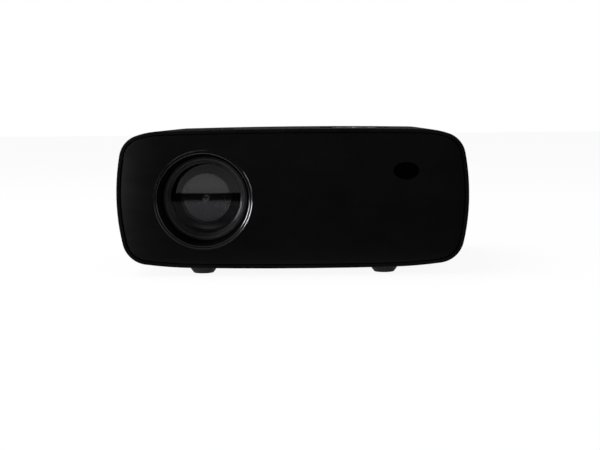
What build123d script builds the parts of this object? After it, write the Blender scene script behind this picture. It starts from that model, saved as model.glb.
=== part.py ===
from build123d import *
import os
from math import cos, degrees, pi, radians, sin, sqrt

# A compact LED projector with a disc player in its right side, in millimetres.
# X runs to the right as seen from the front, Y to the rear, Z up. The origin is on the
# table, under the middle of the housing, and the front faces -Y.

# ---------------------------------------------------------------- driving dimensions
# Housing: a tube of crowned, round-cornered section along Y, split at its widest height.
housing_width = 280.0
housing_depth = 210.0
housing_height = 111.0
wall = 2.8
foot_drop = 5.5  # housing underside above the table
parting_above_mid = 2.5  # widest height, where the shells meet
crown_end = 1.2  # degrees: where the crown of roof and floor turns into the shoulder
roof_shoulder_end = 20.0  # degrees: where the shoulder turns into the corner
roof_corner_end = 79.6  # degrees: where the corner turns into the crowned side
roof_shoulder_radius = 60.0
roof_corner_radius = 20.1
floor_shoulder_end = 7.6
floor_corner_end = 77.1
floor_shoulder_radius = 349.0
floor_corner_radius = 21.3
over = 1.0  # how far a cutter runs past the face it cuts through
bite = 0.1  # how far a piece sinks into the one it is fused to
root = 0.5  # how far a post or rib runs into the wall that carries it
edge_reach = 0.1  # from a plane to the edges that count as on it
front_edge_round = 1.5
rear_edge_round = 2.0
parting_gap = 0.3
tongue_wall = 1.2  # lip of the lower shell that laps inside the upper one
tongue_rise = 2.0
tongue_root = 3.0
slip_gap = 0.25  # between moulded parts that slip into each other
ledge_depth = 2.0  # ribs inside the shells that the end panels seat on
ledge_height = 2.2
lip_end_gap = 0.5  # lap lip to the ribs

# End panels
fascia_recess = 1.0  # rim to face
fascia_thickness = 2.5
fascia_edge_round = 1.0
rear_recess = 0.8
rear_thickness = 3.0
window_width = 20.6  # receiver window, an ellipse
window_height = 13.9
window_from_side = 49.6
window_above_mid = 21.6
window_sink = 0.3
window_thickness = 2.0
window_flange = 2.0

# Projection lens, on an axis along Y
lens_from_side = 69.0
lens_below_mid = 0.4
trim_radius = 39.6
trim_throat = 36.6
trim_flange_radius = 42.5
trim_flange = 1.5
trim_inner_lip = ((0.0, 1.0), (0.3, 0.2), (0.8, -0.1), (1.2, 0.2), (1.4, 0.7))  # out, back
trim_outer_lip = ((1.1, 0.5), (0.9, -0.5), (0.4, -0.7), (0.0, -0.2))  # in from the rim, back
lens_recess = 20.0  # rim to the barrel's front edge, at rest
hood_wall = 1.8
hood_throat = 34.5
barrel_radius = 33.8
barrel_length = 46.0
barrel_room = 4.0  # barrel to the tunnel, at full travel
barrel_mouth_radius = 32.3
front_glass_radius = 29.4
front_glass_edge = 4.4
front_glass_sink = 6.0  # barrel front to the edge of the front glass
front_glass_dome = 3.2
front_glass_back = 2.2
retainer_lip = 28.5
middle_glass_radius = 23.1
middle_glass_edge = 5.0
middle_glass_hollow = 2.2
rear_glass_radius = 25.4
rear_glass_edge = 3.8
rear_glass_dome = 3.0
glass_fit = 0.1
seat_land = 0.4  # flat under a glass rim, inside which the seat is relieved for the dome
seat_width = 2.4
seat_relief = 0.8
spacer_wall = 1.6
middle_glass_at = 20.0  # barrel front to the middle element's seat
middle_lip = 1.6
rear_glass_at = 36.0
retainer_front = 0.6
retainer_land = 0.4  # barrel's step before the front glass
retainer_gap = 0.05
retainer_rim = 1.0
retainer_cone = ((1.4, 2.2), (1.2, 2.8))  # out from the lip, back from the front
retainer_bevel = 0.5
tube_wall = 2.5
sliding_fit = 0.1
tube_setback = 3.0  # barrel front to the fixed tube's front
focus_travel = 4.0  # barrel travel each way
focus_turn = 50.0  # degrees of ring turn each way
pin_radius = 1.5
pin_depth = 2.0  # into the barrel's wall
pin_end_gap = 0.4
slot_fit = 0.15
slot_margin = 1.0  # degrees past the pin at each end of a cam slot

# Focus and keystone rings, turned from a well in the roof
ring_floor_gap = 2.0
ring_rim = 3.5
ring_hub_wall = 2.7
ring_web = 2.5
focus_ring_width = 17.0
keystone_ring_width = 12.0
keystone_slot_land = 3.0  # hub left behind the cam slot
ring_end_gap = 0.2  # keystone hub to the flange
ring_setback = 6.0  # fixed tube's front to the focus ring
ring_spacing = 2.4  # shoulder on the tube between the rings
shoulder_height = 3.4
clip_width = 1.4
clip_depth = 3.0
knurl_count = 72
knurl_radius = 0.8
ring_proud = 2.0  # how far the rings stand out of the well's floor
ring_slot_gap = 0.8
well_length = 46.0
well_width = 46.0
well_corner = 7.0
well_draft = 20.0
well_wall = 2.0

# Light engine
flange_half = 39.0
flange_thickness = 3.0
flange_screw_at = 33.0
flange_corner = 6.0
tunnel_width = 104.0
tunnel_height = 72.0
tunnel_wall = 2.0
tunnel_ear = 8.0
tunnel_ear_thickness = 3.0
tunnel_ear_inset = 13.0
tunnel_ear_reach = 5.0  # screw to the ear's end
tunnel_ear_half = 6.0
tunnel_mouth_margin = 3.0  # round the rear glass
guide_roof = 1.6
tab_room = 0.8
tab_side_room = 0.6
plate_fit = 0.2
field_plate_share = 0.264  # places along the tunnel, as shares of its length
lcd_share = 0.4286
heat_glass_share = 0.533
rear_plate_share = 0.604
condenser_share = 0.7473
fresnel_thickness = 2.0
heat_glass_thickness = 1.1
lcd_frame_width = 94.0
lcd_frame_height = 60.0
lcd_frame_thickness = 4.0
lcd_glass_width = 90.0
lcd_glass_height = 54.0
lcd_glass_thickness = 2.2
lcd_border = 3.0
lcd_tilt = 4.0  # degrees each way
lcd_tab_width = 4.0
lcd_tab_thickness = 3.0
tab_proud = 0.8  # tab above the slider
pivot_end_gap = 0.5
keystone_turn = 40.0  # degrees of ring turn each way
slider_width = 10.0
slider_thickness = 2.2
slider_lift = 0.6  # slider above the flange plate's top
slider_fork = 5.0  # material behind the fork
slider_lead = 3.5  # plate before its pin
fork_play = 0.35
fork_side_play = 0.5
guide_start = 6.0  # tunnel front to the slider's guide
guide_clear = 13.0  # guide to the middle of the panel
guide_wall = 3.5
condenser_radius = 30.0
condenser_edge = 2.0
condenser_dome = 9.0
condenser_front_dome = 0.4
condenser_wall = 3.0
condenser_lip = 1.0
condenser_seat = 1.0
led_board_size = 50.0
led_board_thickness = 1.6
led_emitter_size = 14.0
led_emitter_thickness = 1.2
sink_width = 98.0
sink_depth = 25.9
sink_base = 5.0
sink_fan_gap = 0.3
fin_pitch = 6.4
fin_thickness = 1.4
fan_size = 72.0
fan_thickness = 15.0
fan_bore = 33.5
fan_blade_radius = 32.0
fan_hub_radius = 15.0
fan_blades = 9
fan_blade_thickness = 1.6
fan_strut = 5.0
fan_strut_depth = 2.5
fan_corner = 5.0
fan_spindle = 2.0
fan_spindle_setback = 3.0
fan_front_gap = 1.0
fan_hub_wall = 1.5
blade_angle = 40.0  # degrees
blade_root = 2.0
blade_inset = 1.0
fan_plate_radius = 17.0
fan_gap = 0.6
fan_screw_at = 32.0

# Disc drive, loading through the right side
drive_above_parting = 3.2
drive_width = 134.0
drive_height = 13.2
drive_length = 130.0
drive_setback = 6.0  # housing side to the chassis mouth
sheet = 0.8
rail_overlap = 57.0  # rail still on the tray's ribs at full travel
rail_depth = 3.0
rail_height = 6.0
rail_above_floor = 2.2
rail_groove = 1.5
rail_groove_height = 2.8
rail_gap = 0.3
rail_back_gap = 2.0
shelf_margin = 0.5  # rail past its shelf
shelf_setback = 1.0
shelf_thickness = 1.0
drive_tab_half = 5.0
drive_tab_reach = 4.0
lid_ring_outer = 42.0
lid_ring_inner = 36.0
lid_ring_height = 0.5
tray_length = 126.5
tray_floor_gap = 0.4
tray_top_gap = 0.8
tray_deck = 1.6
tray_travel = 130.0
recess_radius = 61.0
recess_sink = 4.3
recess_front_wall = 1.8
tray_side_wall = 1.6
tray_back_wall = 1.4
tray_front_wall = 2.0
rib_fit = 0.2
rib_setback = 1.0
notch_from = 34.0  # finger notch in front of the disc
notch_wall = 4.0
notch_half = 16.0
mechanism_post = 2.5
bezel_gap = 0.4
bezel_margin = 0.2
eject_fit = 0.2
release_radius = 0.6  # hole for an emergency pin
release_from_eject = 12.0
bezel_inset = 0.5  # tray front to the chassis mouth
eject_width = 8.0
eject_height = 3.0
eject_y = 48.0
eject_travel = 0.6
eject_clearance = 0.9  # behind the button at full travel
base_sheet = 0.6
turntable_radius = 13.0
turntable_thickness = 1.0
hub_radius = 7.4
hub_height = 2.6
hub_hole_gap = 1.5
spindle_motor_radius = 12.0
pickup_width = 24.0
pickup_length = 11.0
pickup_height = 3.2
pickup_inner_radius = 24.0
pickup_travel = 31.0
objective_radius = 2.4
objective_height = 0.9
rod_radius = 1.0
rod_spread = 15.5
screw_radius = 1.0
screw_spread = 20.5
bearing_fit = 0.1
mechanism_posts_at = ((30.0, 30.0), (-40.0, 40.0))  # from the disc's middle
traverse_inset = 2.0
traverse_front_gap = 3.0
spindle_radius = 1.5
motor_below_recess = 1.4
bearing_wall = 1.6  # bracket above the rods' axes
bracket = 2.0
rod_end = 0.5  # rod into its bracket's outer wall
screw_ends = (0.7, 0.8)
sled_motor_length = 12.0
sled_motor_half = 4.0
rod_far = 62.0  # rods' ends, from the disc's middle
rod_near = 13.5
sled_bearing_half = 4.0
sled_bearing_wall = 1.8
nut_half = 2.0
nut_gap = 1.4
objective_rim = 2.0
objective_base = 0.7
window_end_gap = 0.6
window_side_gap = 1.0
hub_sink = 0.4  # turntable below the disc recess
hub_round = 0.6
catch_radius = 0.8
catch_depth = 1.2
catch_inset = 0.3
spindle_floor = 0.6

# Boards, sockets and loudspeaker
board_thickness = 1.6
board_lift = 8.0  # board underside above the housing's inner floor
board_from_tunnel = 21.0
mainboard_from_side = 48.0
mainboard_share = 0.5508  # of the length that the two boards fill
power_board_from_side = 32.0
board_gap = 8.2
board_post_radius = 3.5
board_hole_inset = 6.0
board_end_gap = 2.0
board_front_room = 9.0
post_clear = 1.0  # board round a drive post
port_room = 14.0  # board edge to its screws, behind the sockets
speaker_room = 30.0  # the same, beside the loudspeaker
hdmi_from_board_end = 14.0
usb_from_side = 102.0
jacks_from_side = (82.0, 66.0)
socket_fit = 0.3
socket_setback = 0.2  # behind the back panel's face
socket_end = 1.0  # tongue short of the mouth
tongue_half = 5.6
hdmi_width = 15.0
hdmi_height = 5.8
hdmi_depth = 11.5
hdmi_wall = 0.5
hdmi_sheet = 0.6
hdmi_back = 2.0
hdmi_tongue = 1.0
usb_width = 13.4
usb_height = 7.0
usb_depth = 14.0
usb_wall = 0.5
usb_sheet = 0.9
usb_back = 3.0
usb_tongue = (3.0, 1.2)  # its two faces below the shell's top
jack_above_board = 3.8
jack_nose = 3.2
jack_body = (9.0, 7.4)
jack_body_depth = 10.7
jack_body_gap = 0.3
jack_bore = 1.8
jack_depth = 12.0
inlet_from_side = 36.0
inlet_above_floor = 27.7
inlet_pin_radius = 1.2
inlet_pin_spread = 4.3
inlet_width = 24.0
inlet_height = 14.0
inlet_corner = 4.0
inlet_depth = 11.0
inlet_flange = 1.5
inlet_flange_corner = 5.0
inlet_recess_radius = 4.6
inlet_recess_height = 8.0
inlet_floor = 2.0
inlet_pin_setback = 2.0
speaker_radius = 16.0
speaker_depth = 14.0
speaker_seat_wall = 2.5
speaker_seat_depth = 6.5
speaker_flange = 2.0
speaker_basket_inset = 4.0
speaker_basket_depth = 9.0
speaker_magnet_inset = 6.0
speaker_cone_rim = 2.0
speaker_cone_end = 4.0
speaker_cone_depth = 6.0
speaker_y = -36.0
speaker_below_mid = 23.0

# Key deck on the roof
deck_from_side = 88.0
deck_y = 6.0
deck_width = 60.0
deck_length = 84.0
deck_corner = 12.0
deck_recess = 0.5
deck_wall = 2.2
deck_margin = 3.0  # thick edge round the deck
control_post_inset = (5.0, 6.0)  # from the deck's sides and ends
post_tip = 2.0  # solid left above a control post's hole
pad_behind_deck = 14.0
ok_radius = 7.5
pad_inner_radius = 10.2
pad_outer_radius = 20.0
pad_split = 1.8
key_gap = 0.3
key_flange = 0.6
key_flange_thickness = 1.0
key_travel = 0.6
key_play = 0.1  # flange below the deck
key_root = 0.2  # cap into its flange
switch_gap = 0.2
switch_button = 0.6
small_key_radius = 5.5
small_key_x = 14.0
small_key_y = -24.0
key_stem_radius = 1.6
key_stem_length = 4.0
switch_size = 6.0
control_board_inset = 1.0
switch_height = 3.5

# Fasteners, feet and tripod thread
case_post_radius = 4.5
case_post_from_side = 14.0
case_post_setback = 17.0
case_screw_radius = 1.5
case_screw_head = 2.8
case_screw_head_height = 2.4
case_screw_bite = 10.0
case_screw_seat = 6.0  # below the parting
pilot_fit = 0.05
screw_clear = 0.2  # round a screw's shank
head_clear = 0.4  # round the head of a case screw
screw_end_gap = 0.5
blind_floor = 0.5  # left under a blind hole
cross_width = 3.2
cross_slot = 0.8
cross_depth = 1.2
small_cross_width = 2.6
small_cross_slot = 0.6
small_cross_depth = 0.6
cross_turn = 30.0  # degrees
flange_screw_tip = 1.0  # past the tunnel's wall
flange_screw_tip_gap = 0.5
small_screw_radius = 1.2
small_screw_head = 2.3
small_screw_head_height = 1.4
small_screw_length = 8.0
drive_post_radius = 4.0
drive_posts_from_mouth = (104.0, 30.0)
drive_post_outset = 5.0
foot_top_radius = 13.0
foot_bottom_radius = 8.0
foot_from_side = 66.5
foot_setback = 25.0
foot_plug_radius = 4.0
foot_plug_height = 2.0
foot_fit = 0.1
foot_seat_fit = 0.2
foot_seat_depth = 0.4
foot_edge_round = 1.0
tripod_from_boards = 10.0
tripod_bore = 2.6
tripod_depth = 10.0
tripod_insert_radius = 5.0
tripod_insert_length = 12.0
tripod_boss_wall = 2.5

# Openings for air and sound
slot_width = 3.0
side_slot_pitch = 8.0
side_slot_count = 15
side_slot_near = 7.0  # from the parting
side_slot_far = 32.0
speaker_slot_width = 2.0
speaker_slot_pitch = 4.5
speaker_slot_count = 7
speaker_slot_share = 0.8  # length, of the loudspeaker's diameter
floor_slot_pitch = 8.0
floor_slot_count = 9
floor_slot_length = 66.0
grille_bar = 3.0
grille_slot = 3.0
grille_first = 8.0

# ---------------------------------------------------------------- places worked out from them
front_y = -housing_depth / 2
rear_y = housing_depth / 2
base_z = foot_drop
top_z = foot_drop + housing_height
mid_z = foot_drop + housing_height / 2
parting_z = mid_z + parting_above_mid
side_x = housing_width / 2
floor_z = base_z + wall
lens_x = lens_from_side - side_x
window_x = side_x - window_from_side
deck_x = side_x - deck_from_side
foot_x = side_x - foot_from_side


def quarter(height, angles, shoulder, corner):
    """Arcs (radius, start, end) of a quarter outline. Crown and side take the radii that close it."""
    a, b, c = [radians(angle) for angle in angles]
    run = shoulder * (sin(b) - sin(a)) + corner * (sin(c) - sin(b))
    fall = shoulder * (cos(a) - cos(b)) + corner * (cos(b) - cos(c))
    left_x = housing_width / 2 - run
    left_z = height - fall
    determinant = sin(a) * cos(c) - (1 - sin(c)) * (1 - cos(a))
    crown = (left_x * cos(c) - left_z * (1 - sin(c))) / determinant
    side = (left_z * sin(a) - left_x * (1 - cos(a))) / determinant
    return (crown, 0.0, a), (shoulder, a, b), (corner, b, c), (side, c, pi / 2)


roof_arcs = quarter(
    top_z - parting_z,
    (crown_end, roof_shoulder_end, roof_corner_end),
    roof_shoulder_radius,
    roof_corner_radius,
)
floor_arcs = quarter(
    parting_z - base_z,
    (crown_end, floor_shoulder_end, floor_corner_end),
    floor_shoulder_radius,
    floor_corner_radius,
)

fascia_y = front_y + fascia_recess
fascia_back = fascia_y + fascia_thickness
rear_face_y = rear_y - rear_recess
rear_back = rear_face_y - rear_thickness
panel_inset = wall + slip_gap
window_z = mid_z + window_above_mid

lens_z = mid_z - lens_below_mid
barrel_y = front_y + lens_recess
barrel_end = barrel_y + barrel_length
glass_y = barrel_y + front_glass_sink
tube_y = barrel_y + tube_setback
tube_bore = barrel_radius + sliding_fit
tube_radius = tube_bore + tube_wall
tunnel_y = barrel_end + focus_travel + barrel_room
hub_bore = tube_radius + sliding_fit
hub_radius_outer = hub_bore + ring_hub_wall
focus_ring_y = tube_y + ring_setback
keystone_ring_y = focus_ring_y + focus_ring_width + ring_spacing
focus_pin_y = focus_ring_y + ring_web + (focus_ring_width - ring_web) / 2
pin_reach = hub_radius_outer - pin_end_gap
focus_lead = focus_travel * 360 / focus_turn

tunnel_top = lens_z + tunnel_height / 2
tunnel_bottom = lens_z - tunnel_height / 2
fan_y = rear_back - fan_thickness
sink_y = fan_y - sink_fan_gap - sink_depth
tunnel_end = sink_y
tunnel_length = tunnel_end - tunnel_y
lcd_y = tunnel_y + lcd_share * tunnel_length
condenser_y = tunnel_y + condenser_share * tunnel_length
slider_z = lens_z + flange_half + slider_lift
slider_arm = slider_z + slider_thickness / 2 - lens_z
slider_travel = slider_arm * radians(lcd_tilt)
keystone_lead = slider_travel * 360 / keystone_turn
keystone_pin_y = tunnel_y - flange_thickness - keystone_slot_land - slider_travel - pin_radius

drive_z = parting_z + drive_above_parting
drive_top = drive_z + drive_height
drive_front_x = side_x - drive_setback
drive_back_x = drive_front_x - drive_length
chassis_inner = drive_width / 2 - sheet
rail_outer = chassis_inner - rail_gap
rail_inner = rail_outer - rail_depth
rail_z = drive_z + sheet + rail_above_floor
rail_back_x = drive_back_x + rail_back_gap
rail_length = tray_travel / 2 + rail_overlap
tray_half = rail_inner - rail_gap
tray_front_x = drive_front_x + bezel_inset
tray_back_x = tray_front_x - tray_length
tray_z = drive_z + sheet + tray_floor_gap
tray_top = drive_top - sheet - tray_top_gap
recess_z = tray_top - recess_sink
disc_x = tray_front_x - recess_front_wall - recess_radius
bezel_half = drive_width / 2 - bezel_margin
bezel_z = drive_z + bezel_margin
bezel_top = drive_top - bezel_margin
bezel_mid_z = (bezel_z + bezel_top) / 2
mechanism_z = (tray_z + base_sheet + recess_z - tray_deck) / 2

board_z = floor_z + board_lift
board_top = board_z + board_thickness
board_left_x = lens_x + tunnel_width / 2 + board_from_tunnel
mainboard_back = rear_back - board_end_gap
power_board_front = front_y + board_front_room
boards_length = mainboard_back - power_board_front - board_gap
mainboard_length = mainboard_share * boards_length
mainboard_front = mainboard_back - mainboard_length
mainboard_width = side_x - mainboard_from_side - board_left_x
power_board_length = boards_length - mainboard_length
power_board_width = side_x - power_board_from_side - board_left_x
hdmi_x = board_left_x + hdmi_from_board_end
usb_x = side_x - usb_from_side
jack_xs = [side_x - inset for inset in jacks_from_side]
inlet_x = side_x - inlet_from_side
inlet_z = floor_z + inlet_above_floor
speaker_z = mid_z - speaker_below_mid
tripod_x = board_left_x - tripod_from_boards
tripod_y = 0.0
drive_posts = [
    (drive_front_x - inset, side * (drive_width / 2 + drive_post_outset))
    for inset in drive_posts_from_mouth
    for side in (-1, 1)
]
case_posts = [
    (x, side * (housing_depth / 2 - case_post_setback))
    for x in (case_post_from_side - side_x, tripod_x, side_x - case_post_from_side)
    for side in (-1, 1)
]
feet = [
    (side * foot_x, end * (housing_depth / 2 - foot_setback)) for side in (-1, 1) for end in (-1, 1)
]


# ---------------------------------------------------------------- shape helpers
def block(x_low, x_high, y_low, y_high, z_low, z_high):
    """A box between six planes."""
    middle = Pos((x_low + x_high) / 2, (y_low + y_high) / 2, (z_low + z_high) / 2)
    return middle * Box(x_high - x_low, y_high - y_low, z_high - z_low)


def rod_x(y, z, radius, x_low, x_high):
    """A cylinder along X."""
    return Pos((x_low + x_high) / 2, y, z) * Rot(0, 90, 0) * Cylinder(radius, x_high - x_low)


def rod_y(x, z, radius, y_low, y_high):
    """A cylinder along Y."""
    return Pos(x, (y_low + y_high) / 2, z) * Rot(90, 0, 0) * Cylinder(radius, y_high - y_low)


def rod_z(x, y, radius, z_low, z_high):
    """A cylinder along Z."""
    return Pos(x, y, (z_low + z_high) / 2) * Cylinder(radius, z_high - z_low)


def along_y(section, y_low, y_high):
    """A section drawn in X and Z, carried from y_low to y_high."""
    return extrude(Plane.XZ.offset(-y_low) * section, amount=y_low - y_high)


def along_z(section, z_low, z_high):
    """A section drawn in X and Y, carried from z_low to z_high."""
    return extrude(Pos(0, 0, z_low) * section, amount=z_high - z_low)


def turned(*corners):
    """A piece turned about the lens axis, from the (radius, y) corners of its half-section."""
    half = make_face(Polyline(*corners, close=True))
    return Pos(lens_x, 0, lens_z) * revolve(half, Axis.Y)


def one(shape):
    """The single solid of a fused shape."""
    solids = shape.solids()
    if len(solids) != 1:
        raise ValueError(f"{len(solids)} solids where one was meant")
    return solids[0]


# ---------------------------------------------------------------- housing
def outline(inset):
    """The housing's cross-section drawn in by inset: four tangent arcs a quarter."""
    edges = []
    for arcs, z, up in ((roof_arcs, top_z - parting_z, 1), (floor_arcs, parting_z - base_z, -1)):
        x, z = 0.0, z - inset
        crest = (x, up * z)
        for radius, start, end in arcs:
            r = radius - inset
            half = (start + end) / 2
            middle = (x + r * (sin(half) - sin(start)), up * (z - r * (cos(start) - cos(half))))
            first = (x, up * z)
            x, z = x + r * (sin(end) - sin(start)), z - r * (cos(start) - cos(end))
            last = (x, up * z)
            if start == 0:
                edges.append(ThreePointArc((-x, up * z), crest, last))
                continue
            for side in (1, -1):
                edges.append(ThreePointArc(*[(side * u, v) for u, v in (first, middle, last)]))
    return Pos(0, parting_z) * make_face(edges)


def crown_drop(x, arcs):
    """How far a crowned face has fallen from its crest at x."""
    radius = arcs[0][0]
    return radius - sqrt(radius**2 - x**2)


def housing_body():
    """The housing as one solid, with its end edges rounded."""
    body = along_y(outline(0), front_y, rear_y)
    front_edges = body.edges().filter_by_position(Axis.Y, front_y - edge_reach, front_y + edge_reach)
    body = fillet(front_edges, front_edge_round)
    rear_edges = body.edges().filter_by_position(Axis.Y, rear_y - edge_reach, rear_y + edge_reach)
    return fillet(rear_edges, rear_edge_round)


def housing_tube(body):
    """The wall of the housing with the ribs that the end panels seat on."""
    tube = body - along_y(outline(wall), front_y - over, rear_y + over)
    rib = outline(wall / 2) - outline(wall + ledge_height)
    tube += along_y(rib, fascia_back, fascia_back + ledge_depth)
    return tube + along_y(rib, rear_back - ledge_depth, rear_back)


def slots(count, pitch, centre, make):
    """A row of count cutters, pitch apart, about a centre."""
    return [make(centre + (i - (count - 1) / 2) * pitch) for i in range(count)]


def side_slots(z_low, z_high):
    """Air slots through the left wall."""
    inner = side_x - 3 * wall
    return slots(
        side_slot_count,
        side_slot_pitch,
        0.0,
        lambda y: block(-side_x - over, -inner, y - slot_width / 2, y + slot_width / 2, z_low, z_high),
    )


def well_shape(outset, depth):
    """The finger well over the rings, or the cup around it, from above the roof to a depth."""
    rise = 3.0
    spread = rise * sin(radians(well_draft)) / cos(radians(well_draft))
    section = RectangleRounded(
        well_width + 2 * (outset + spread),
        well_length + 2 * (outset + spread),
        well_corner + outset,
    )
    middle_y = (focus_ring_y + keystone_ring_y + keystone_ring_width) / 2
    start = Pos(lens_x, middle_y, top_z + rise) * section
    return extrude(start, amount=-(depth + rise), taper=well_draft)


def key_faces(grow):
    """The four arrow keys' faces about the pad's centre, grown by a margin, by direction."""
    ring = Circle(pad_outer_radius + grow) - Circle(pad_inner_radius - grow)
    bar = Rectangle(3 * pad_outer_radius, pad_split - 2 * grow)
    ring = ring - Rot(0, 0, 45) * bar - Rot(0, 0, -45) * bar
    found = {}
    for face in ring.faces():
        centre = face.center()
        if abs(centre.Y) > abs(centre.X):
            found["up_key" if centre.Y < 0 else "down_key"] = face
        else:
            found["left_key" if centre.X > 0 else "right_key"] = face
    return found


def key_places(grow):
    """Every key's face on the deck, grown by a margin, with where its stem stands."""
    pad = Pos(deck_x, deck_y + pad_behind_deck)
    reach = (pad_inner_radius + pad_outer_radius) / 2
    ways = {"up_key": (0, -1), "down_key": (0, 1), "left_key": (1, 0), "right_key": (-1, 0)}
    places = {}
    for name, face in key_faces(grow).items():
        stem = (deck_x + ways[name][0] * reach, deck_y + pad_behind_deck + ways[name][1] * reach)
        places[name] = (pad * face, stem)
    places["ok_key"] = (pad * Circle(ok_radius + grow), (deck_x, deck_y + pad_behind_deck))
    for name, sign in (("power_key", -1), ("menu_key", 1)):
        at = (deck_x + sign * small_key_x, deck_y + small_key_y)
        places[name] = (Pos(*at) * Circle(small_key_radius + grow), at)
    return places


deck_top = top_z - crown_drop(deck_x + deck_width / 2, roof_arcs) - deck_recess
deck_under = deck_top - deck_wall
key_flange_top = deck_under - key_play
switch_top = key_flange_top - key_flange_thickness - key_stem_length - key_travel - switch_gap
control_board_top = switch_top - switch_height
control_posts = [
    (
        deck_x + u * (deck_width / 2 - control_post_inset[0]),
        deck_y + v * (deck_length / 2 - control_post_inset[1]),
    )
    for u in (-1, 1)
    for v in (-1, 1)
]
ring_radius = lens_z - (base_z + crown_drop(lens_x, floor_arcs) + wall) - ring_floor_gap
well_floor = lens_z + ring_radius - ring_proud


def make_top_cover(body):
    """Upper shell: roof with the key deck and the finger well, air slots and the tray's mouth."""
    seam = parting_z + parting_gap
    upper = block(-side_x - over, side_x + over, front_y - over, rear_y + over, seam, top_z + over)
    cover = housing_tube(body) & upper
    # key deck: a flat pad under the crown, sunk a little
    deck = Pos(deck_x, deck_y) * RectangleRounded(deck_width, deck_length, deck_corner)
    pad = Pos(deck_x, deck_y) * RectangleRounded(
        deck_width + 2 * deck_margin, deck_length + 2 * deck_margin, deck_corner + deck_margin
    )
    cover += along_z(pad, deck_under, top_z + over) & body
    cover -= along_z(deck, deck_top, top_z + over)
    for face, _ in key_places(key_gap).values():
        cover -= along_z(face, deck_under - over, top_z + over)
    for x, y in control_posts:
        cover += rod_z(x, y, board_post_radius, control_board_top, deck_under + root)
        bore = small_screw_radius + pilot_fit
        cover -= rod_z(x, y, bore, control_board_top - over, deck_under - post_tip)
    # finger well over the rings
    cup = well_shape(well_wall, top_z - well_floor + well_wall) & body
    cover += cup
    cover -= well_shape(0, top_z - well_floor)
    rings_y = focus_ring_y - ring_slot_gap
    rings_end = keystone_ring_y + keystone_ring_width + ring_slot_gap
    cover -= rod_y(lens_x, lens_z, ring_radius + ring_slot_gap, rings_y, rings_end)
    # posts for the case screws
    for x, y in case_posts:
        cover += rod_z(x, y, case_post_radius, seam, top_z) & body
    for x, y in case_posts:
        reach = parting_z + case_screw_bite
        cover -= rod_z(x, y, case_screw_radius + pilot_fit, parting_z - over, reach)
    # mouth of the disc drive
    half, low, high = bezel_half + bezel_gap, bezel_z - bezel_gap, bezel_top + bezel_gap
    cover -= block(side_x - 3 * wall, side_x + over, -half, half, low, high)
    for cutter in side_slots(parting_z + side_slot_near, parting_z + side_slot_far):
        cover -= cutter
    return one(cover)


def make_bottom_cover(body):
    """Lower shell: lap lip, posts for screws, boards, engine and drive, feet and tripod boss."""
    lower = block(-side_x - over, side_x + over, front_y - over, rear_y + over, base_z - over, parting_z)
    cover = housing_tube(body) & lower
    # lip that laps inside the upper shell
    lip_in = wall + slip_gap
    y_low, y_high = fascia_back + ledge_depth + lip_end_gap, rear_back - ledge_depth - lip_end_gap
    band = along_y(outline(wall / 2) - outline(lip_in + tongue_wall), y_low, y_high)
    cover += band & block(-side_x, side_x, y_low, y_high, parting_z - tongue_root, parting_z)
    lip = along_y(outline(lip_in) - outline(lip_in + tongue_wall), y_low, y_high)
    cover += lip & block(-side_x, side_x, y_low, y_high, parting_z - over, parting_z + tongue_rise)
    # openings for air and sound
    for cutter in side_slots(parting_z - side_slot_far, parting_z - side_slot_near):
        cover -= cutter
    half = speaker_slot_share * speaker_radius
    for cutter in slots(
        speaker_slot_count,
        speaker_slot_pitch,
        speaker_y,
        lambda y: block(
            side_x - 4 * wall,
            side_x + over,
            y - speaker_slot_width / 2,
            y + speaker_slot_width / 2,
            speaker_z - half,
            speaker_z + half,
        ),
    ):
        cover -= cutter
    for cutter in slots(
        floor_slot_count,
        floor_slot_pitch,
        (tunnel_y + tunnel_end) / 2,
        lambda y: block(
            lens_x - floor_slot_length / 2,
            lens_x + floor_slot_length / 2,
            y - slot_width / 2,
            y + slot_width / 2,
            base_z - over,
            floor_z + 2 * wall,
        ),
    ):
        cover -= cutter
    # seat ring for the loudspeaker
    seat = rod_x(speaker_y, speaker_z, speaker_radius, speaker_x, side_x)
    seat -= rod_x(speaker_y, speaker_z, speaker_radius - speaker_seat_wall, speaker_x - over, side_x + over)
    cover += seat & along_y(outline(wall / 2), front_y, rear_y)
    # posts
    inside = along_y(outline(wall / 2), front_y, rear_y)
    for x, y in case_posts:
        cover += rod_z(x, y, case_post_radius, base_z, parting_z) & body
    for x, y in drive_posts:
        cover += rod_z(x, y, drive_post_radius, base_z, drive_z) & inside
    for x, y in ear_posts:
        cover += rod_z(x, y, drive_post_radius, base_z, tunnel_bottom) & inside
    for x, y in board_posts:
        cover += rod_z(x, y, board_post_radius, base_z, board_z) & inside
    cover += rod_z(
        tripod_x,
        tripod_y,
        tripod_insert_radius + tripod_boss_wall,
        base_z + root,
        base_z + tripod_insert_length + tripod_boss_wall,
    )
    for x, y in case_posts:
        cover -= rod_z(x, y, case_screw_head + head_clear, base_z - over, parting_z - case_screw_seat)
        cover -= rod_z(x, y, case_screw_radius + screw_clear, base_z, parting_z + over)
    for x, y, z in [(x, y, drive_z) for x, y in drive_posts] + [
        (x, y, tunnel_bottom) for x, y in ear_posts
    ]:
        cover -= rod_z(x, y, small_screw_radius + pilot_fit, z - small_screw_length, z + over)
    for x, y in board_posts:
        cover -= rod_z(x, y, small_screw_radius + pilot_fit, floor_z + blind_floor, board_z + over)
    cover -= rod_z(
        tripod_x, tripod_y, tripod_insert_radius, base_z - over, base_z + tripod_insert_length
    )
    for x, y in feet:
        plug_top = foot_seat(x) + foot_plug_height
        cover -= rod_z(x, y, foot_plug_radius + foot_fit, base_z - over, plug_top + foot_fit)
        cover -= rod_z(x, y, foot_top_radius + foot_seat_fit, base_z - over, foot_seat(x))
    return one(cover)


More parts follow.
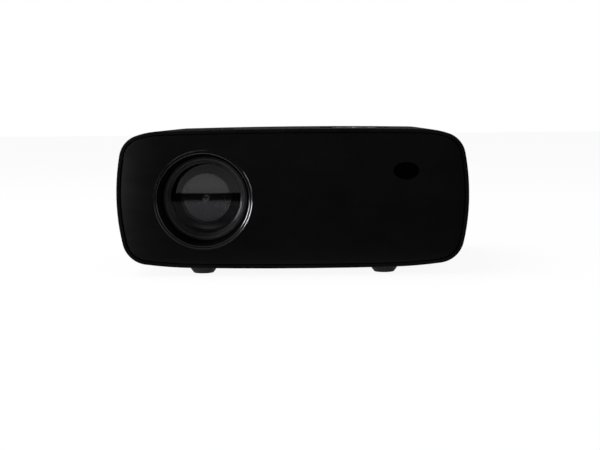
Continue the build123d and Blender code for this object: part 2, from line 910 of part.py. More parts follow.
def foot_seat(x):
    """Height of the flat that a foot is stuck to, cut into the crowned underside."""
    return base_z + crown_drop(abs(x) + foot_top_radius, floor_arcs) + foot_seat_depth


def make_front_fascia():
    """Face panel, seated inside the rim, with the lens and receiver openings."""
    panel = along_y(outline(panel_inset), fascia_y, fascia_back)
    edges = panel.edges().filter_by_position(Axis.Y, fascia_y - edge_reach, fascia_y + edge_reach)
    panel = fillet(edges, fascia_edge_round)
    panel -= rod_y(lens_x, lens_z, trim_radius + slip_gap, front_y - over, fascia_back + over)
    hole = Pos(window_x, window_z) * Ellipse(window_width / 2, window_height / 2)
    return one(panel - along_y(hole, front_y - over, fascia_back + over))


def make_ir_window():
    """Smoked receiver window with a bonding flange behind the fascia."""
    gap = slip_gap / 2
    half = (window_width / 2, window_height / 2)
    face = Pos(window_x, window_z) * Ellipse(half[0] - gap, half[1] - gap)
    flange = Pos(window_x, window_z) * Ellipse(half[0] + window_flange, half[1] + window_flange)
    window = along_y(face, fascia_y + window_sink, fascia_back + bite)
    return one(window + along_y(flange, fascia_back, fascia_back + window_thickness))


def make_lens_trim_ring():
    """Double-lipped ring in the fascia's opening, with a flange behind it."""
    back = fascia_back + trim_flange
    return turned(
        (trim_throat, back),
        *[(trim_throat + out, fascia_y + deep) for out, deep in trim_inner_lip],
        *[(trim_radius - inward, fascia_y + deep) for inward, deep in trim_outer_lip],
        (trim_radius, fascia_back),
        (trim_flange_radius, fascia_back),
        (trim_flange_radius, back),
    )


def make_lens_hood():
    """Tapered black well from the trim ring down to the fixed tube."""
    front = fascia_back + trim_flange
    return turned(
        (trim_throat, front),
        (trim_flange_radius, front),
        (trim_flange_radius, front + hood_wall),
        (trim_throat + hood_wall, front + hood_wall),
        (hood_throat + hood_wall, tube_y),
        (hood_throat, tube_y),
    )


def grille_cutters():
    """Concentric slots over the fan, crossed by four spokes."""
    spokes = Rot(0, 0, 45) * Rectangle(3 * fan_bore, grille_bar)
    spokes += Rot(0, 0, -45) * Rectangle(3 * fan_bore, grille_bar)
    rings = Sketch()
    inner = grille_first
    while inner + grille_slot <= fan_bore:
        rings += Circle(inner + grille_slot) - Circle(inner)
        inner += grille_slot + grille_bar
    return along_y(Pos(lens_x, lens_z) * (rings - spokes), rear_back - over, rear_y + over)


def make_rear_panel():
    """Back panel with the fan grille, the sockets' openings and the power inlet's."""
    panel = along_y(outline(panel_inset), rear_back, rear_face_y)
    panel -= grille_cutters()
    for u in (-1, 1):
        for v in (-1, 1):
            x, z = lens_x + u * fan_screw_at, lens_z + v * fan_screw_at
            panel -= rod_y(x, z, small_screw_radius + screw_clear, rear_back - over, rear_y)
    for x, width, height in ((hdmi_x, hdmi_width, hdmi_height), (usb_x, usb_width, usb_height)):
        low, high = board_top - socket_fit, board_top + height + socket_fit
        half = width / 2 + socket_fit
        panel -= block(x - half, x + half, rear_back - over, rear_y, low, high)
    for x in jack_xs:
        panel -= rod_y(x, jack_z, jack_nose + socket_fit, rear_back - over, rear_y)
    panel -= along_y(Pos(inlet_x, inlet_z) * inlet_section(socket_fit), rear_back - over, rear_y)
    return one(panel)


def make_rubber_feet():
    """Four rubber feet: a cone frustum below and a plug in the shell."""
    pieces = []
    for x, y in feet:
        seat = foot_seat(x)
        cone = Solid.make_cone(foot_bottom_radius, foot_top_radius, seat)
        cone = fillet(Part(cone.wrapped).edges().sort_by(Axis.Z)[0:1], foot_edge_round)
        foot = Pos(x, y, 0) * cone + rod_z(x, y, foot_plug_radius, seat - root, seat + foot_plug_height)
        pieces.append(one(foot))
    return Compound(pieces)


def make_tripod_insert():
    """Brass tripod bush, open downwards."""
    bush = rod_z(tripod_x, tripod_y, tripod_insert_radius, base_z, base_z + tripod_insert_length)
    return bush - rod_z(tripod_x, tripod_y, tripod_bore, base_z - over, base_z + tripod_depth)


def screw_down(x, y, z, radius, head, head_height, length):
    """A pan-head screw pointing down, with the underside of its head at z."""
    return rod_z(x, y, head, z, z + head_height) + rod_z(x, y, radius, z - length, z + bite)


def make_case_screws():
    """Six long screws from below, heads in the lower shell's counterbores."""
    pieces = []
    seat = parting_z - case_screw_seat
    for x, y in case_posts:
        shank_end = parting_z + case_screw_bite - screw_end_gap
        screw = rod_z(x, y, case_screw_head, seat - case_screw_head_height, seat)
        screw += rod_z(x, y, case_screw_radius, seat - bite, shank_end)
        cross = Rectangle(cross_width, cross_slot) + Rectangle(cross_slot, cross_width)
        low = seat - case_screw_head_height
        screw -= along_z(Pos(x, y) * cross, low - bite, low + cross_depth)
        pieces.append(one(screw))
    return Compound(pieces)


def make_inner_screws():
    """Small screws of the drive, the engine, the boards, the lens flange and the fan."""
    small = (small_screw_radius, small_screw_head, small_screw_head_height)
    reach = small_screw_length - screw_end_gap
    pieces = [screw_down(x, y, drive_z + sheet, *small, reach) for x, y in drive_posts]
    ear_top = tunnel_bottom + tunnel_ear_thickness
    pieces += [screw_down(x, y, ear_top, *small, reach) for x, y in ear_posts]
    pieces += [screw_down(x, y, board_top, *small, reach) for x, y in board_posts]
    board_under = control_board_top - board_thickness
    for x, y in control_posts:
        shank = rod_z(x, y, small_screw_radius, board_under - bite, board_under + reach)
        pieces.append(
            shank + rod_z(x, y, small_screw_head, board_under - small_screw_head_height, board_under)
        )
    for u in (-1, 1):
        for v in (-1, 1):
            x, z = lens_x + u * flange_screw_at, lens_z + v * flange_screw_at
            face = tunnel_y - flange_thickness
            head = rod_y(x, z, small_screw_head, face - small_screw_head_height, face)
            end = tunnel_y + tunnel_wall + flange_screw_tip
            pieces.append(head + rod_y(x, z, small_screw_radius, face - bite, end))
            x, z = lens_x + u * fan_screw_at, lens_z + v * fan_screw_at
            screw = rod_y(x, z, small_screw_head, rear_face_y, rear_face_y + rear_recess)
            screw += rod_y(x, z, small_screw_radius, rear_back - reach, rear_face_y + bite)
            cross = Rectangle(small_cross_width, small_cross_slot)
            cross += Rectangle(small_cross_slot, small_cross_width)
            low = rear_face_y + rear_recess - small_cross_depth
            screw -= along_y(Pos(x, z) * Rot(0, 0, cross_turn) * cross, low, rear_y + over)
            pieces.append(screw)
    return Compound([one(piece) for piece in pieces])


# ---------------------------------------------------------------- projection lens
def fallen(radius, dome, at):
    """How far a spherical face of that edge radius and dome has fallen at a radius."""
    sphere = (radius**2 + dome**2) / (2 * dome)
    sign = 1 if sphere > 0 else -1
    return sphere - sign * sqrt(sphere**2 - at**2)


def lens_element(y, radius, edge, front_dome, rear_dome):
    """A glass element whose rim starts at y. A dome is positive where the face bulges."""
    front_vertex, rear_vertex = y - front_dome, y + edge + rear_dome
    half = radius / 2
    lines = [
        ThreePointArc(
            (0, front_vertex),
            (half, front_vertex + fallen(radius, front_dome, half)),
            (radius, y),
        ),
        Line((radius, y), (radius, y + edge)),
        ThreePointArc(
            (radius, y + edge),
            (half, rear_vertex - fallen(radius, rear_dome, half)),
            (0, rear_vertex),
        ),
        Line((0, rear_vertex), (0, front_vertex)),
    ]
    return Pos(lens_x, 0, lens_z) * revolve(make_face(lines), Axis.Y)


glass_seat_y = glass_y + front_glass_edge + glass_fit
middle_seat_y = barrel_y + middle_glass_at
middle_y = middle_seat_y + glass_fit
spacer_y = middle_y + middle_glass_edge + glass_fit
rear_seat_y = barrel_y + rear_glass_at
rear_glass_y = rear_seat_y + glass_fit
middle_bore = middle_glass_radius + glass_fit
rear_bore = rear_glass_radius + glass_fit


def make_lens_barrel():
    """Sliding barrel, stepped inside for its three elements."""
    barrel = turned(
        (barrel_radius, barrel_y),
        (barrel_mouth_radius, barrel_y),
        (barrel_mouth_radius, glass_y - retainer_land),
        (front_glass_radius + glass_fit, glass_y - retainer_land),
        (front_glass_radius + glass_fit, glass_seat_y),
        (front_glass_radius - seat_land, glass_seat_y),
        (front_glass_radius - seat_width, glass_seat_y + seat_relief),
        (middle_bore - middle_lip, middle_seat_y),
        (middle_bore, middle_seat_y),
        (middle_bore, rear_seat_y - seat_relief),
        (rear_glass_radius - seat_land, rear_seat_y),
        (rear_bore, rear_seat_y),
        (rear_bore, barrel_end),
        (barrel_radius, barrel_end),
    )
    for sign in (-1, 1):
        ends = sorted((lens_x + sign * (barrel_radius - pin_depth), lens_x + sign * (barrel_radius + over)))
        barrel -= rod_x(focus_pin_y, lens_z, pin_radius, *ends)
    return one(barrel)


def make_lens_retainer():
    """Threaded ring that holds the front glass, with a bright cone inside."""
    outer = barrel_mouth_radius - glass_fit
    front, back = barrel_y + retainer_front, glass_y - retainer_land - retainer_gap
    return turned(
        (outer, front),
        (outer - retainer_rim, front),
        *[(retainer_lip + out, front + deep) for out, deep in retainer_cone],
        (retainer_lip, back - retainer_bevel),
        (retainer_lip, back),
        (outer, back),
    )


def make_front_lens():
    """Front element, biconvex."""
    return lens_element(
        glass_y, front_glass_radius, front_glass_edge, front_glass_dome, front_glass_back
    )


def make_middle_lens():
    """Middle element, hollow on both faces."""
    hollow = -middle_glass_hollow
    return lens_element(middle_y, middle_glass_radius, middle_glass_edge, hollow, hollow)


def make_rear_lens():
    """Rear element, biconvex."""
    return lens_element(
        rear_glass_y, rear_glass_radius, rear_glass_edge, rear_glass_dome, rear_glass_dome
    )


def make_lens_spacer():
    """Tube between the middle and rear elements."""
    outer, inner = middle_glass_radius, middle_glass_radius - spacer_wall
    bulge = rear_glass_dome - fallen(rear_glass_radius, rear_glass_dome, inner)
    end = rear_seat_y - bulge
    return turned((outer, spacer_y), (inner, spacer_y), (inner, end), (outer, end))


def make_lens_mount_tube():
    """Fixed tube with straight slots for the pins and a shoulder between the rings."""
    shoulder = tube_radius + shoulder_height
    y_low = keystone_ring_y - ring_spacing
    y_high = keystone_ring_y
    tube = turned(
        (tube_bore, tube_y),
        (tube_bore, tunnel_y),
        (tube_radius, tunnel_y),
        (tube_radius, y_high - sliding_fit),
        (shoulder, y_high - sliding_fit),
        (shoulder, y_low + sliding_fit),
        (tube_radius, y_low + sliding_fit),
        (tube_radius, tube_y),
    )
    width = pin_radius + slot_fit
    slot = SlotOverall(2 * (focus_travel + width), 2 * width)
    for sign in (-1, 1):
        at = Plane(
            origin=(lens_x + sign * (tube_bore - pin_depth), focus_pin_y, lens_z),
            x_dir=(0, 1, 0),
            z_dir=(sign, 0, 0),
        )
        tube -= extrude(at * slot, amount=tube_wall + 2 * pin_depth)
    return one(tube)


def make_lens_flange():
    """Square plate that ties the fixed tube to the light tunnel."""
    square = RectangleRounded(2 * flange_half, 2 * flange_half, flange_corner)
    plate = square - Circle(tube_radius + sliding_fit)
    for u in (-1, 1):
        for v in (-1, 1):
            at = Pos(u * flange_screw_at, v * flange_screw_at)
            plate -= at * Circle(small_screw_radius + screw_clear)
    return one(along_y(Pos(lens_x, lens_z) * plate, tunnel_y - flange_thickness, tunnel_y))


def make_focus_pins():
    """Two pins from the barrel, through the tube's slots, into the focus ring's cam slots."""
    pieces = []
    for sign in (-1, 1):
        ends = sorted((lens_x + sign * (barrel_radius - pin_depth), lens_x + sign * pin_reach))
        pieces.append(rod_x(focus_pin_y, lens_z, pin_radius, *ends).solids()[0])
    return Compound(pieces)


def cam_slot(y, lead, half_turn, at_angle):
    """Cutter for a helical slot through a ring's hub. Angles run right-handed about +Y from +X."""
    width = 2 * (pin_radius + slot_fit)
    radius = (hub_bore + hub_radius_outer) / 2
    turn = half_turn + degrees(width / 2 / radius) + slot_margin
    height = lead * 2 * turn / 360
    path = Helix(pitch=lead, height=height, radius=radius)
    across = Plane(origin=path @ 0, x_dir=(1, 0, 0), z_dir=path % 0)
    cutter = sweep(across * Rectangle(ring_hub_wall + over, width), path=path, is_frenet=True)
    spun = Rot(0, 0, at_angle - turn) * Pos(0, 0, -height / 2) * cutter
    return Pos(lens_x, y, lens_z) * Rot(-90, 0, 0) * spun


def knurled_rim(y_low, y_high):
    """Grooved rim that the finger turns."""
    section = Circle(ring_radius) - Circle(ring_radius - ring_rim)
    grooves = PolarLocations(ring_radius, knurl_count) * Circle(knurl_radius)
    section -= grooves
    return along_y(Pos(lens_x, lens_z) * section, y_low, y_high)


def ring_disc(outer, inner, y_low, y_high):
    """A plain ring about the lens axis."""
    return turned((outer, y_low), (inner, y_low), (inner, y_high), (outer, y_high))


def make_focus_ring():
    """Focus ring: knurled rim, web and a hub with two cam slots."""
    y_low, y_high = focus_ring_y, focus_ring_y + focus_ring_width
    ring = knurled_rim(y_low, y_high)
    ring += ring_disc(ring_radius - ring_rim + root, hub_bore, y_low, y_low + ring_web)
    ring += ring_disc(hub_radius_outer, hub_bore, y_low, y_high)
    for angle in (0, 180):
        ring -= cam_slot(focus_pin_y, focus_lead, focus_turn, angle)
    return one(ring)


def make_keystone_ring():
    """Keystone ring: knurled rim, web and a longer hub with one cam slot at the top."""
    y_low = keystone_ring_y
    ring = knurled_rim(y_low, y_low + keystone_ring_width)
    ring += ring_disc(ring_radius - ring_rim + root, hub_bore, y_low, y_low + ring_web)
    ring += ring_disc(hub_radius_outer, hub_bore, y_low, tunnel_y - flange_thickness - ring_end_gap)
    ring -= cam_slot(keystone_pin_y, keystone_lead, keystone_turn, -90)
    return one(ring)


def make_ring_clip():
    """Snap ring on the tube that keeps the focus ring from coming forward."""
    y_high = focus_ring_y - sliding_fit
    return ring_disc(tube_radius + clip_depth, tube_radius, y_high - clip_width, y_high)


def make_keystone_slider():
    """Push plate from the keystone ring's cam slot to the panel's tab."""
    y_low = keystone_pin_y - slider_lead
    y_high = lcd_y + lcd_tab_thickness / 2 + slider_fork
    half = slider_width / 2
    plate = block(lens_x - half, lens_x + half, y_low, y_high, slider_z, slider_z + slider_thickness)
    plate += rod_z(
        lens_x, keystone_pin_y, pin_radius, lens_z + hub_bore + pin_end_gap, slider_z + slider_thickness
    )
    tab_half = lcd_tab_thickness / 2 + fork_play
    side = lcd_tab_width / 2 + fork_side_play
    hole = block(
        lens_x - side,
        lens_x + side,
        lcd_y - tab_half,
        lcd_y + tab_half,
        slider_z - over,
        slider_z + slider_thickness + over,
    )
    return one(plate - hole)


# ---------------------------------------------------------------- light engine
def make_light_tunnel():
    """Box from the lens flange to the heat sink, with a slider guide on its roof."""
    x_low, x_high = lens_x - tunnel_width / 2, lens_x + tunnel_width / 2
    tunnel = block(x_low, x_high, tunnel_y, tunnel_end, tunnel_bottom, tunnel_top)
    t = tunnel_wall
    tunnel -= block(
        x_low + t, x_high - t, tunnel_y + t, tunnel_end + over, tunnel_bottom + t, tunnel_top - t
    )
    tunnel -= rod_y(lens_x, lens_z, rear_bore + tunnel_mouth_margin, tunnel_y - over, tunnel_y + t + over)
    # wall that carries the condenser lens
    y = condenser_y
    divider = block(x_low + t / 2, x_high - t / 2, y, y + condenser_wall, tunnel_bottom, tunnel_top)
    divider -= rod_y(lens_x, lens_z, condenser_radius - condenser_seat, y - over, y + condenser_wall + over)
    seat = y + condenser_lip
    divider -= rod_y(
        lens_x, lens_z, condenser_radius + glass_fit, seat, y + condenser_wall + over
    )
    tunnel += divider
    # ears on the bottom
    for x, y in ear_posts:
        inner = x_low + t if x < lens_x else x_high - t
        reach = tunnel_ear_reach if x > lens_x else -tunnel_ear_reach
        ends = sorted((inner, x + reach))
        ear_top = tunnel_bottom + tunnel_ear_thickness
        tunnel += block(*ends, y - tunnel_ear_half, y + tunnel_ear_half, tunnel_bottom, ear_top)
        tunnel -= rod_z(x, y, small_screw_radius + screw_clear, tunnel_bottom - over, ear_top + over)
    # guide for the keystone slider
    reach = slider_width / 2 + slip_gap
    y_low, y_high = tunnel_y + guide_start, lcd_y - guide_clear
    guide_top = slider_z + slider_thickness + slip_gap + guide_roof
    guide = block(
        lens_x - reach - guide_wall,
        lens_x + reach + guide_wall,
        y_low,
        y_high,
        tunnel_top - t / 2,
        guide_top,
    )
    channel_low, channel_high = slider_z - slip_gap, slider_z + slider_thickness + slip_gap
    guide -= block(
        lens_x - reach, lens_x + reach, y_low - over, y_high + over, channel_low, channel_high
    )
    tunnel += guide
    # slot for the panel's tab and holes for its pivots
    swing = (tunnel_height / 2) * sin(radians(lcd_tilt)) + lcd_tab_thickness / 2 + tab_room
    side = lcd_tab_width / 2 + tab_side_room
    tunnel -= block(
        lens_x - side, lens_x + side, lcd_y - swing, lcd_y + swing, tunnel_top - t - over, tunnel_top + over
    )
    tunnel -= rod_x(lcd_y, lens_z, pin_radius + bearing_fit, x_low - over, x_high + over)
    for u in (-1, 1):
        for v in (-1, 1):
            x, z = lens_x + u * flange_screw_at, lens_z + v * flange_screw_at
            hole = small_screw_radius + pilot_fit
            hole_end = tunnel_y + t + flange_screw_tip + flange_screw_tip_gap
            tunnel -= rod_y(x, z, hole, tunnel_y - over, hole_end)
    return one(tunnel)


def centred_plate(width, height, y_low, y_high):
    """A plate square to the lens axis."""
    return block(
        lens_x - width / 2,
        lens_x + width / 2,
        y_low,
        y_high,
        lens_z - height / 2,
        lens_z + height / 2,
    )


def make_lcd_frame():
    """Tilting carrier: window, glass pocket, two pivots and the tab that the slider moves."""
    y_low, y_high = lcd_y - lcd_frame_thickness / 2, lcd_y + lcd_frame_thickness / 2
    frame = centred_plate(lcd_frame_width, lcd_frame_height, y_low, y_high)
    frame -= centred_plate(
        lcd_glass_width - 2 * lcd_border, lcd_glass_height - 2 * lcd_border, y_low - over, y_high + over
    )
    pocket_y = y_high - lcd_glass_thickness - glass_fit
    frame -= centred_plate(
        lcd_glass_width + plate_fit, lcd_glass_height + plate_fit, pocket_y, y_high + over
    )
    pivot_reach = tunnel_width / 2 - pivot_end_gap
    for sign in (-1, 1):
        ends = sorted((lens_x + sign * (lcd_frame_width / 2 - over), lens_x + sign * pivot_reach))
        frame += rod_x(lcd_y, lens_z, pin_radius, *ends)
    half = lcd_tab_width / 2
    tab_top = slider_z + slider_thickness + tab_proud
    frame += block(
        lens_x - half,
        lens_x + half,
        lcd_y - lcd_tab_thickness / 2,
        lcd_y + lcd_tab_thickness / 2,
        lens_z + lcd_frame_height / 2 - over,
        tab_top,
    )
    return one(frame)


def make_lcd_panel():
    """Image panel in the carrier's pocket."""
    y_high = lcd_y + lcd_frame_thickness / 2 - glass_fit / 2
    return centred_plate(lcd_glass_width, lcd_glass_height, y_high - lcd_glass_thickness, y_high)


def make_fresnel_lenses():
    """Two fresnel plates, before and behind the image panel."""
    width = tunnel_width - 2 * tunnel_wall - plate_fit
    height = tunnel_height - 2 * tunnel_wall - plate_fit
    plates = []
    for share in (field_plate_share, rear_plate_share):
        y = tunnel_y + share * tunnel_length
        plates.append(centred_plate(width, height, y, y + fresnel_thickness).solids()[0])
    return Compound(plates)


def make_heat_glass():
    """Heat-shield glass between the lamp and the image panel."""
    width = tunnel_width - 2 * tunnel_wall - plate_fit
    height = tunnel_height - 2 * tunnel_wall - plate_fit
    y = tunnel_y + heat_glass_share * tunnel_length
    return centred_plate(width, height, y, y + heat_glass_thickness)


def make_condenser_lens():
    """Condenser in the tunnel's wall, domed to the front."""
    y = condenser_y + condenser_lip + glass_fit
    return lens_element(y, condenser_radius, condenser_edge, condenser_front_dome, condenser_dome)


def make_led_board():
    """Lamp board on the heat sink, with its emitter."""
    y = sink_y - led_board_thickness
    board = centred_plate(led_board_size, led_board_size, y, sink_y)
    size = led_emitter_size
    return one(board + centred_plate(size, size, y - led_emitter_thickness, y + bite))


def make_heat_sink():
    """Finned heat sink behind the lamp."""
    fin_end = sink_y + sink_depth
    section = Pos(lens_x, sink_y + sink_base / 2) * Rectangle(sink_width, sink_base)
    count = int((sink_width - fin_thickness) / fin_pitch) + 1
    length = fin_end - sink_y - root
    for i in range(count):
        x = lens_x - (count - 1) * fin_pitch / 2 + i * fin_pitch
        middle = Pos(x, (sink_y + root + fin_end) / 2)
        section += middle * Rectangle(fin_thickness, length)
    return one(along_z(section, tunnel_bottom, tunnel_top))


def make_fan_frame():
    """Square fan frame with a round throat, four struts and a motor plate at the rear."""
    frame = RectangleRounded(fan_size, fan_size, fan_corner) - Circle(fan_bore)
    for u in (-1, 1):
        for v in (-1, 1):
            frame -= Pos(u * fan_screw_at, v * fan_screw_at) * Circle(small_screw_radius + pilot_fit)
    at = Pos(lens_x, lens_z)
    body = along_y(at * frame, fan_y, rear_back)
    star = Circle(fan_plate_radius)
    star += Rectangle(2 * fan_bore + over, fan_strut) + Rectangle(fan_strut, 2 * fan_bore + over)
    body += along_y(at * star, rear_back - fan_strut_depth, rear_back)
    body += rod_y(
        lens_x, lens_z, fan_spindle, fan_y + fan_spindle_setback, rear_back - fan_strut_depth + root
    )
    return one(body)


def make_fan_rotor():
    """Fan hub with twisted blades, bored for the motor's spindle."""
    y_low = fan_y + fan_front_gap
    y_high = rear_back - fan_strut_depth - fan_gap
    rotor = rod_y(lens_x, lens_z, fan_hub_radius, y_low, y_high)
    depth = y_high - y_low - fan_hub_wall
    length = depth / cos(radians(blade_angle))
    span = fan_blade_radius - fan_hub_radius + blade_root
    blade = Box(span, fan_blade_thickness, length - 2 * blade_inset)
    reach = (fan_blade_radius + fan_hub_radius) / 2 - blade_root / 2
    middle = Pos(lens_x, (y_low + y_high) / 2, lens_z) * Rot(90, 0, 0)
    for i in range(fan_blades):
        spin = Rot(0, 0, i * 360 / fan_blades)
        rotor += middle * spin * Pos(reach, 0, 0) * Rot(blade_angle, 0, 0) * blade
    rotor &= rod_y(lens_x, lens_z, fan_blade_radius, y_low, y_high)
    rotor -= rod_y(lens_x, lens_z, fan_spindle + bearing_fit, y_low + fan_hub_wall, y_high + over)
    return one(rotor)


# ---------------------------------------------------------------- disc drive
def make_drive_chassis():
    """Folded tray of sheet steel with rail supports and four fixing tabs."""
    half = drive_width / 2
    z_top = drive_top - sheet
    chassis = block(drive_back_x, drive_front_x, -half, half, drive_z, z_top)
    chassis -= block(
        drive_back_x + sheet,
        drive_front_x + over,
        -chassis_inner,
        chassis_inner,
        drive_z + sheet,
        z_top + over,
    )
    for side in (-1, 1):
        ends = sorted((side * (rail_inner + shelf_margin), side * (half - sheet / 2)))
        x_high = drive_front_x - shelf_setback
        chassis += block(
            drive_back_x + sheet / 2, x_high, *ends, drive_z + sheet / 2, rail_z - rail_gap
        )
        top_low = rail_z + rail_height + rail_gap
        chassis += block(drive_back_x + sheet / 2, x_high, *ends, top_low, top_low + shelf_thickness)
    for x, y in drive_posts:
        side = 1 if y > 0 else -1
        ends = sorted((y + side * drive_tab_reach, side * (half - over)))
        chassis += block(x - drive_tab_half, x + drive_tab_half, *ends, drive_z, drive_z + sheet)
        chassis -= rod_z(x, y, small_screw_radius + screw_clear, drive_z - over, drive_z + sheet + over)
    return one(chassis)


def make_drive_lid():
    """Steel lid of the drive, with a pressed stiffening ring."""
    half = drive_width / 2
    lid = block(drive_back_x, drive_front_x, -half, half, drive_top - sheet, drive_top)
    ring = rod_z(disc_x, 0, lid_ring_outer, drive_top - bite, drive_top + lid_ring_height)
    ring -= rod_z(disc_x, 0, lid_ring_inner, drive_top - over, drive_top + over)
    return one(lid + ring)


def make_drive_rails():
    """Two grooved rails that follow the tray at half its travel."""
    pieces = []
    groove_low = rail_z + (rail_height - rail_groove_height) / 2
    for side in (-1, 1):
        ends = sorted((side * rail_inner, side * rail_outer))
        rail = block(rail_back_x, rail_back_x + rail_length, *ends, rail_z, rail_z + rail_height)
        cut = sorted((side * (rail_inner - over), side * (rail_inner + rail_groove)))
        rail -= block(
            rail_back_x - over,
            rail_back_x + rail_length + over,
            *cut,
            groove_low,
            groove_low + rail_groove_height,
        )
        pieces.append(one(rail))
    return Compound(pieces)


window_far = disc_x - pickup_inner_radius - pickup_travel - pickup_length / 2 - window_end_gap
window_half = pickup_width / 2 + window_side_gap


def make_disc_tray():
    """Tray: disc recess above, a hollow for the mechanism below and side ribs in the rails."""
    tray = block(tray_back_x, tray_front_x, -tray_half, tray_half, tray_z, tray_top)
    tray -= rod_z(disc_x, 0, recess_radius, recess_z, tray_top + over)
    notch = notch_half
    finger = block(disc_x + notch_from, tray_front_x - notch_wall, -notch, notch, recess_z, tray_top + over)
    tray -= finger
    hollow_top = recess_z - tray_deck
    tray -= block(
        tray_back_x + tray_back_wall,
        tray_front_x - tray_front_wall,
        -tray_half + tray_side_wall,
        tray_half - tray_side_wall,
        tray_z - over,
        hollow_top,
    )
    rib_low = rail_z + (rail_height - rail_groove_height) / 2 + rib_fit
    for side in (-1, 1):
        ends = sorted((side * (tray_half - root), side * (rail_inner + rail_groove - rib_fit)))
        rib_high = rib_low + rail_groove_height - 2 * rib_fit
        tray += block(tray_back_x, tray_front_x - rib_setback, *ends, rib_low, rib_high)
    # openings for the turntable and the pickup
    tray -= rod_z(disc_x, 0, turntable_radius + hub_hole_gap, tray_z, tray_top)
    tray -= block(window_far, disc_x, -window_half, window_half, tray_z, recess_z + over)
    for u, v in mechanism_posts:
        tray += rod_z(u, v, mechanism_post, tray_z + base_sheet, hollow_top + root)
    return one(tray)


def make_tray_bezel(body):
    """Front strip of the tray, cut flush with the housing's side."""
    strip = block(tray_front_x, side_x + over, -bezel_half, bezel_half, bezel_z, bezel_top) & body
    half_w, half_h = eject_width / 2 + eject_fit, eject_height / 2 + eject_fit
    strip -= block(
        tray_front_x - over,
        side_x + over,
        eject_y - half_w,
        eject_y + half_w,
        bezel_mid_z - half_h,
        bezel_mid_z + half_h,
    )
    strip -= rod_x(
        eject_y - release_from_eject, bezel_mid_z, release_radius, tray_front_x - over, side_x + over
    )
    return one(strip)


def make_eject_button(body):
    """Eject button in the bezel, with a stem to its switch."""
    half_w, half_h = eject_width / 2, eject_height / 2
    cap = block(
        tray_front_x + eject_travel + eject_clearance,
        side_x + over,
        eject_y - half_w,
        eject_y + half_w,
        bezel_mid_z - half_h,
        bezel_mid_z + half_h,
    )
    return one(cap & body)


mechanism_posts = [(disc_x + u, side * v) for u, v in mechanism_posts_at for side in (-1, 1)]
plate_z = tray_z
plate_top = tray_z + base_sheet


def make_traverse_frame():
    """Base plate under the tray with the spindle motor, rod brackets and sled motor."""
    plate = block(
        tray_back_x + traverse_inset,
        tray_front_x - traverse_front_gap,
        traverse_inset - tray_half,
        tray_half - traverse_inset,
        plate_z,
        plate_top,
    )
    motor_top = recess_z - motor_below_recess
    plate += rod_z(disc_x, 0, spindle_motor_radius, plate_z, motor_top)
    plate -= rod_z(disc_x, 0, spindle_radius + bearing_fit, plate_z + spindle_floor - bearing_fit, recess_z)
    high = mechanism_z + bearing_wall
    far, near = rod_ends
    for x_low, x_high in ((far, far + bracket), (near - bracket, near)):
        for y in (-rod_spread, rod_spread, screw_spread):
            plate += block(x_low, x_high, y - bracket, y + bracket, plate_z, high)
    low_y, high_y = screw_spread - sled_motor_half, screw_spread + sled_motor_half
    plate += block(near, near + sled_motor_length, low_y, high_y, plate_z, high)
    for y in (-rod_spread, rod_spread):
        plate -= rod_x(y, mechanism_z, rod_radius, far + rod_end, near - rod_end)
    bore = screw_radius + bearing_fit
    plate -= rod_x(screw_spread, mechanism_z, bore, far + rod_end, near + over)
    return one(plate)


def make_guide_rods():
    """Two steel rods that the pickup slides on."""
    far, near = rod_ends
    rods = [
        rod_x(y, mechanism_z, rod_radius, far + rod_end, near - rod_end).solids()[0]
        for y in (-rod_spread, rod_spread)
    ]
    return Compound(rods)


def make_lead_screw():
    """Sled screw, plain with a spiral groove left out, in its two bearings."""
    far, near = rod_ends[0] + screw_ends[0], rod_ends[1] + screw_ends[1]
    return rod_x(screw_spread, mechanism_z, screw_radius, far, near)


def make_pickup_sled():
    """Pickup: body between the rods, bearings on them, a nut on the screw, and its objective."""
    x = disc_x - pickup_inner_radius
    low, high = mechanism_z - pickup_height / 2, mechanism_z + pickup_height / 2
    half = pickup_length / 2
    sled = block(x - half, x + half, -pickup_width / 2, pickup_width / 2, low, high)
    for side in (-1, 1):
        ends = sorted((0.0, side * (rod_spread + sled_bearing_wall)))
        sled += block(x - sled_bearing_half, x + sled_bearing_half, *ends, low, high)
        bore = rod_radius + bearing_fit
        sled -= rod_x(side * rod_spread, mechanism_z, bore, x - pickup_width, x + pickup_width)
    nut = sorted((rod_spread + nut_gap, screw_spread + nut_half))
    sled += block(x - nut_half, x + nut_half, *nut, low, high)
    bore = screw_radius + bearing_fit
    sled -= rod_x(screw_spread, mechanism_z, bore, x - pickup_width, x + pickup_width)
    top = high + objective_base
    sled += rod_z(x, 0, objective_radius + objective_rim, high - bite, top)
    sled += rod_z(x, 0, objective_radius, high, top + objective_height)
    return one(sled)


def make_spindle_hub():
    """Turntable with the centring hub and its three catches."""
    low = recess_z - hub_sink
    top = low + turntable_thickness + hub_height
    hub = rod_z(disc_x, 0, turntable_radius, low, low + turntable_thickness)
    hub += rod_z(disc_x, 0, hub_radius, low, top)
    hub = fillet(hub.edges().sort_by(Axis.Z)[-1:], hub_round)
    reach = hub_radius - catch_inset
    for i in range(3):
        angle = radians(90 + 120 * i)
        at = Pos(disc_x + reach * cos(angle), reach * sin(angle), top - catch_depth)
        hub += at * Sphere(catch_radius)
    hub += rod_z(disc_x, 0, spindle_radius, plate_z + spindle_floor, low + bite)
    return one(hub)


# ---------------------------------------------------------------- boards and sockets
jack_z = board_top + jack_above_board
speaker_x = side_x - wall - speaker_seat_depth

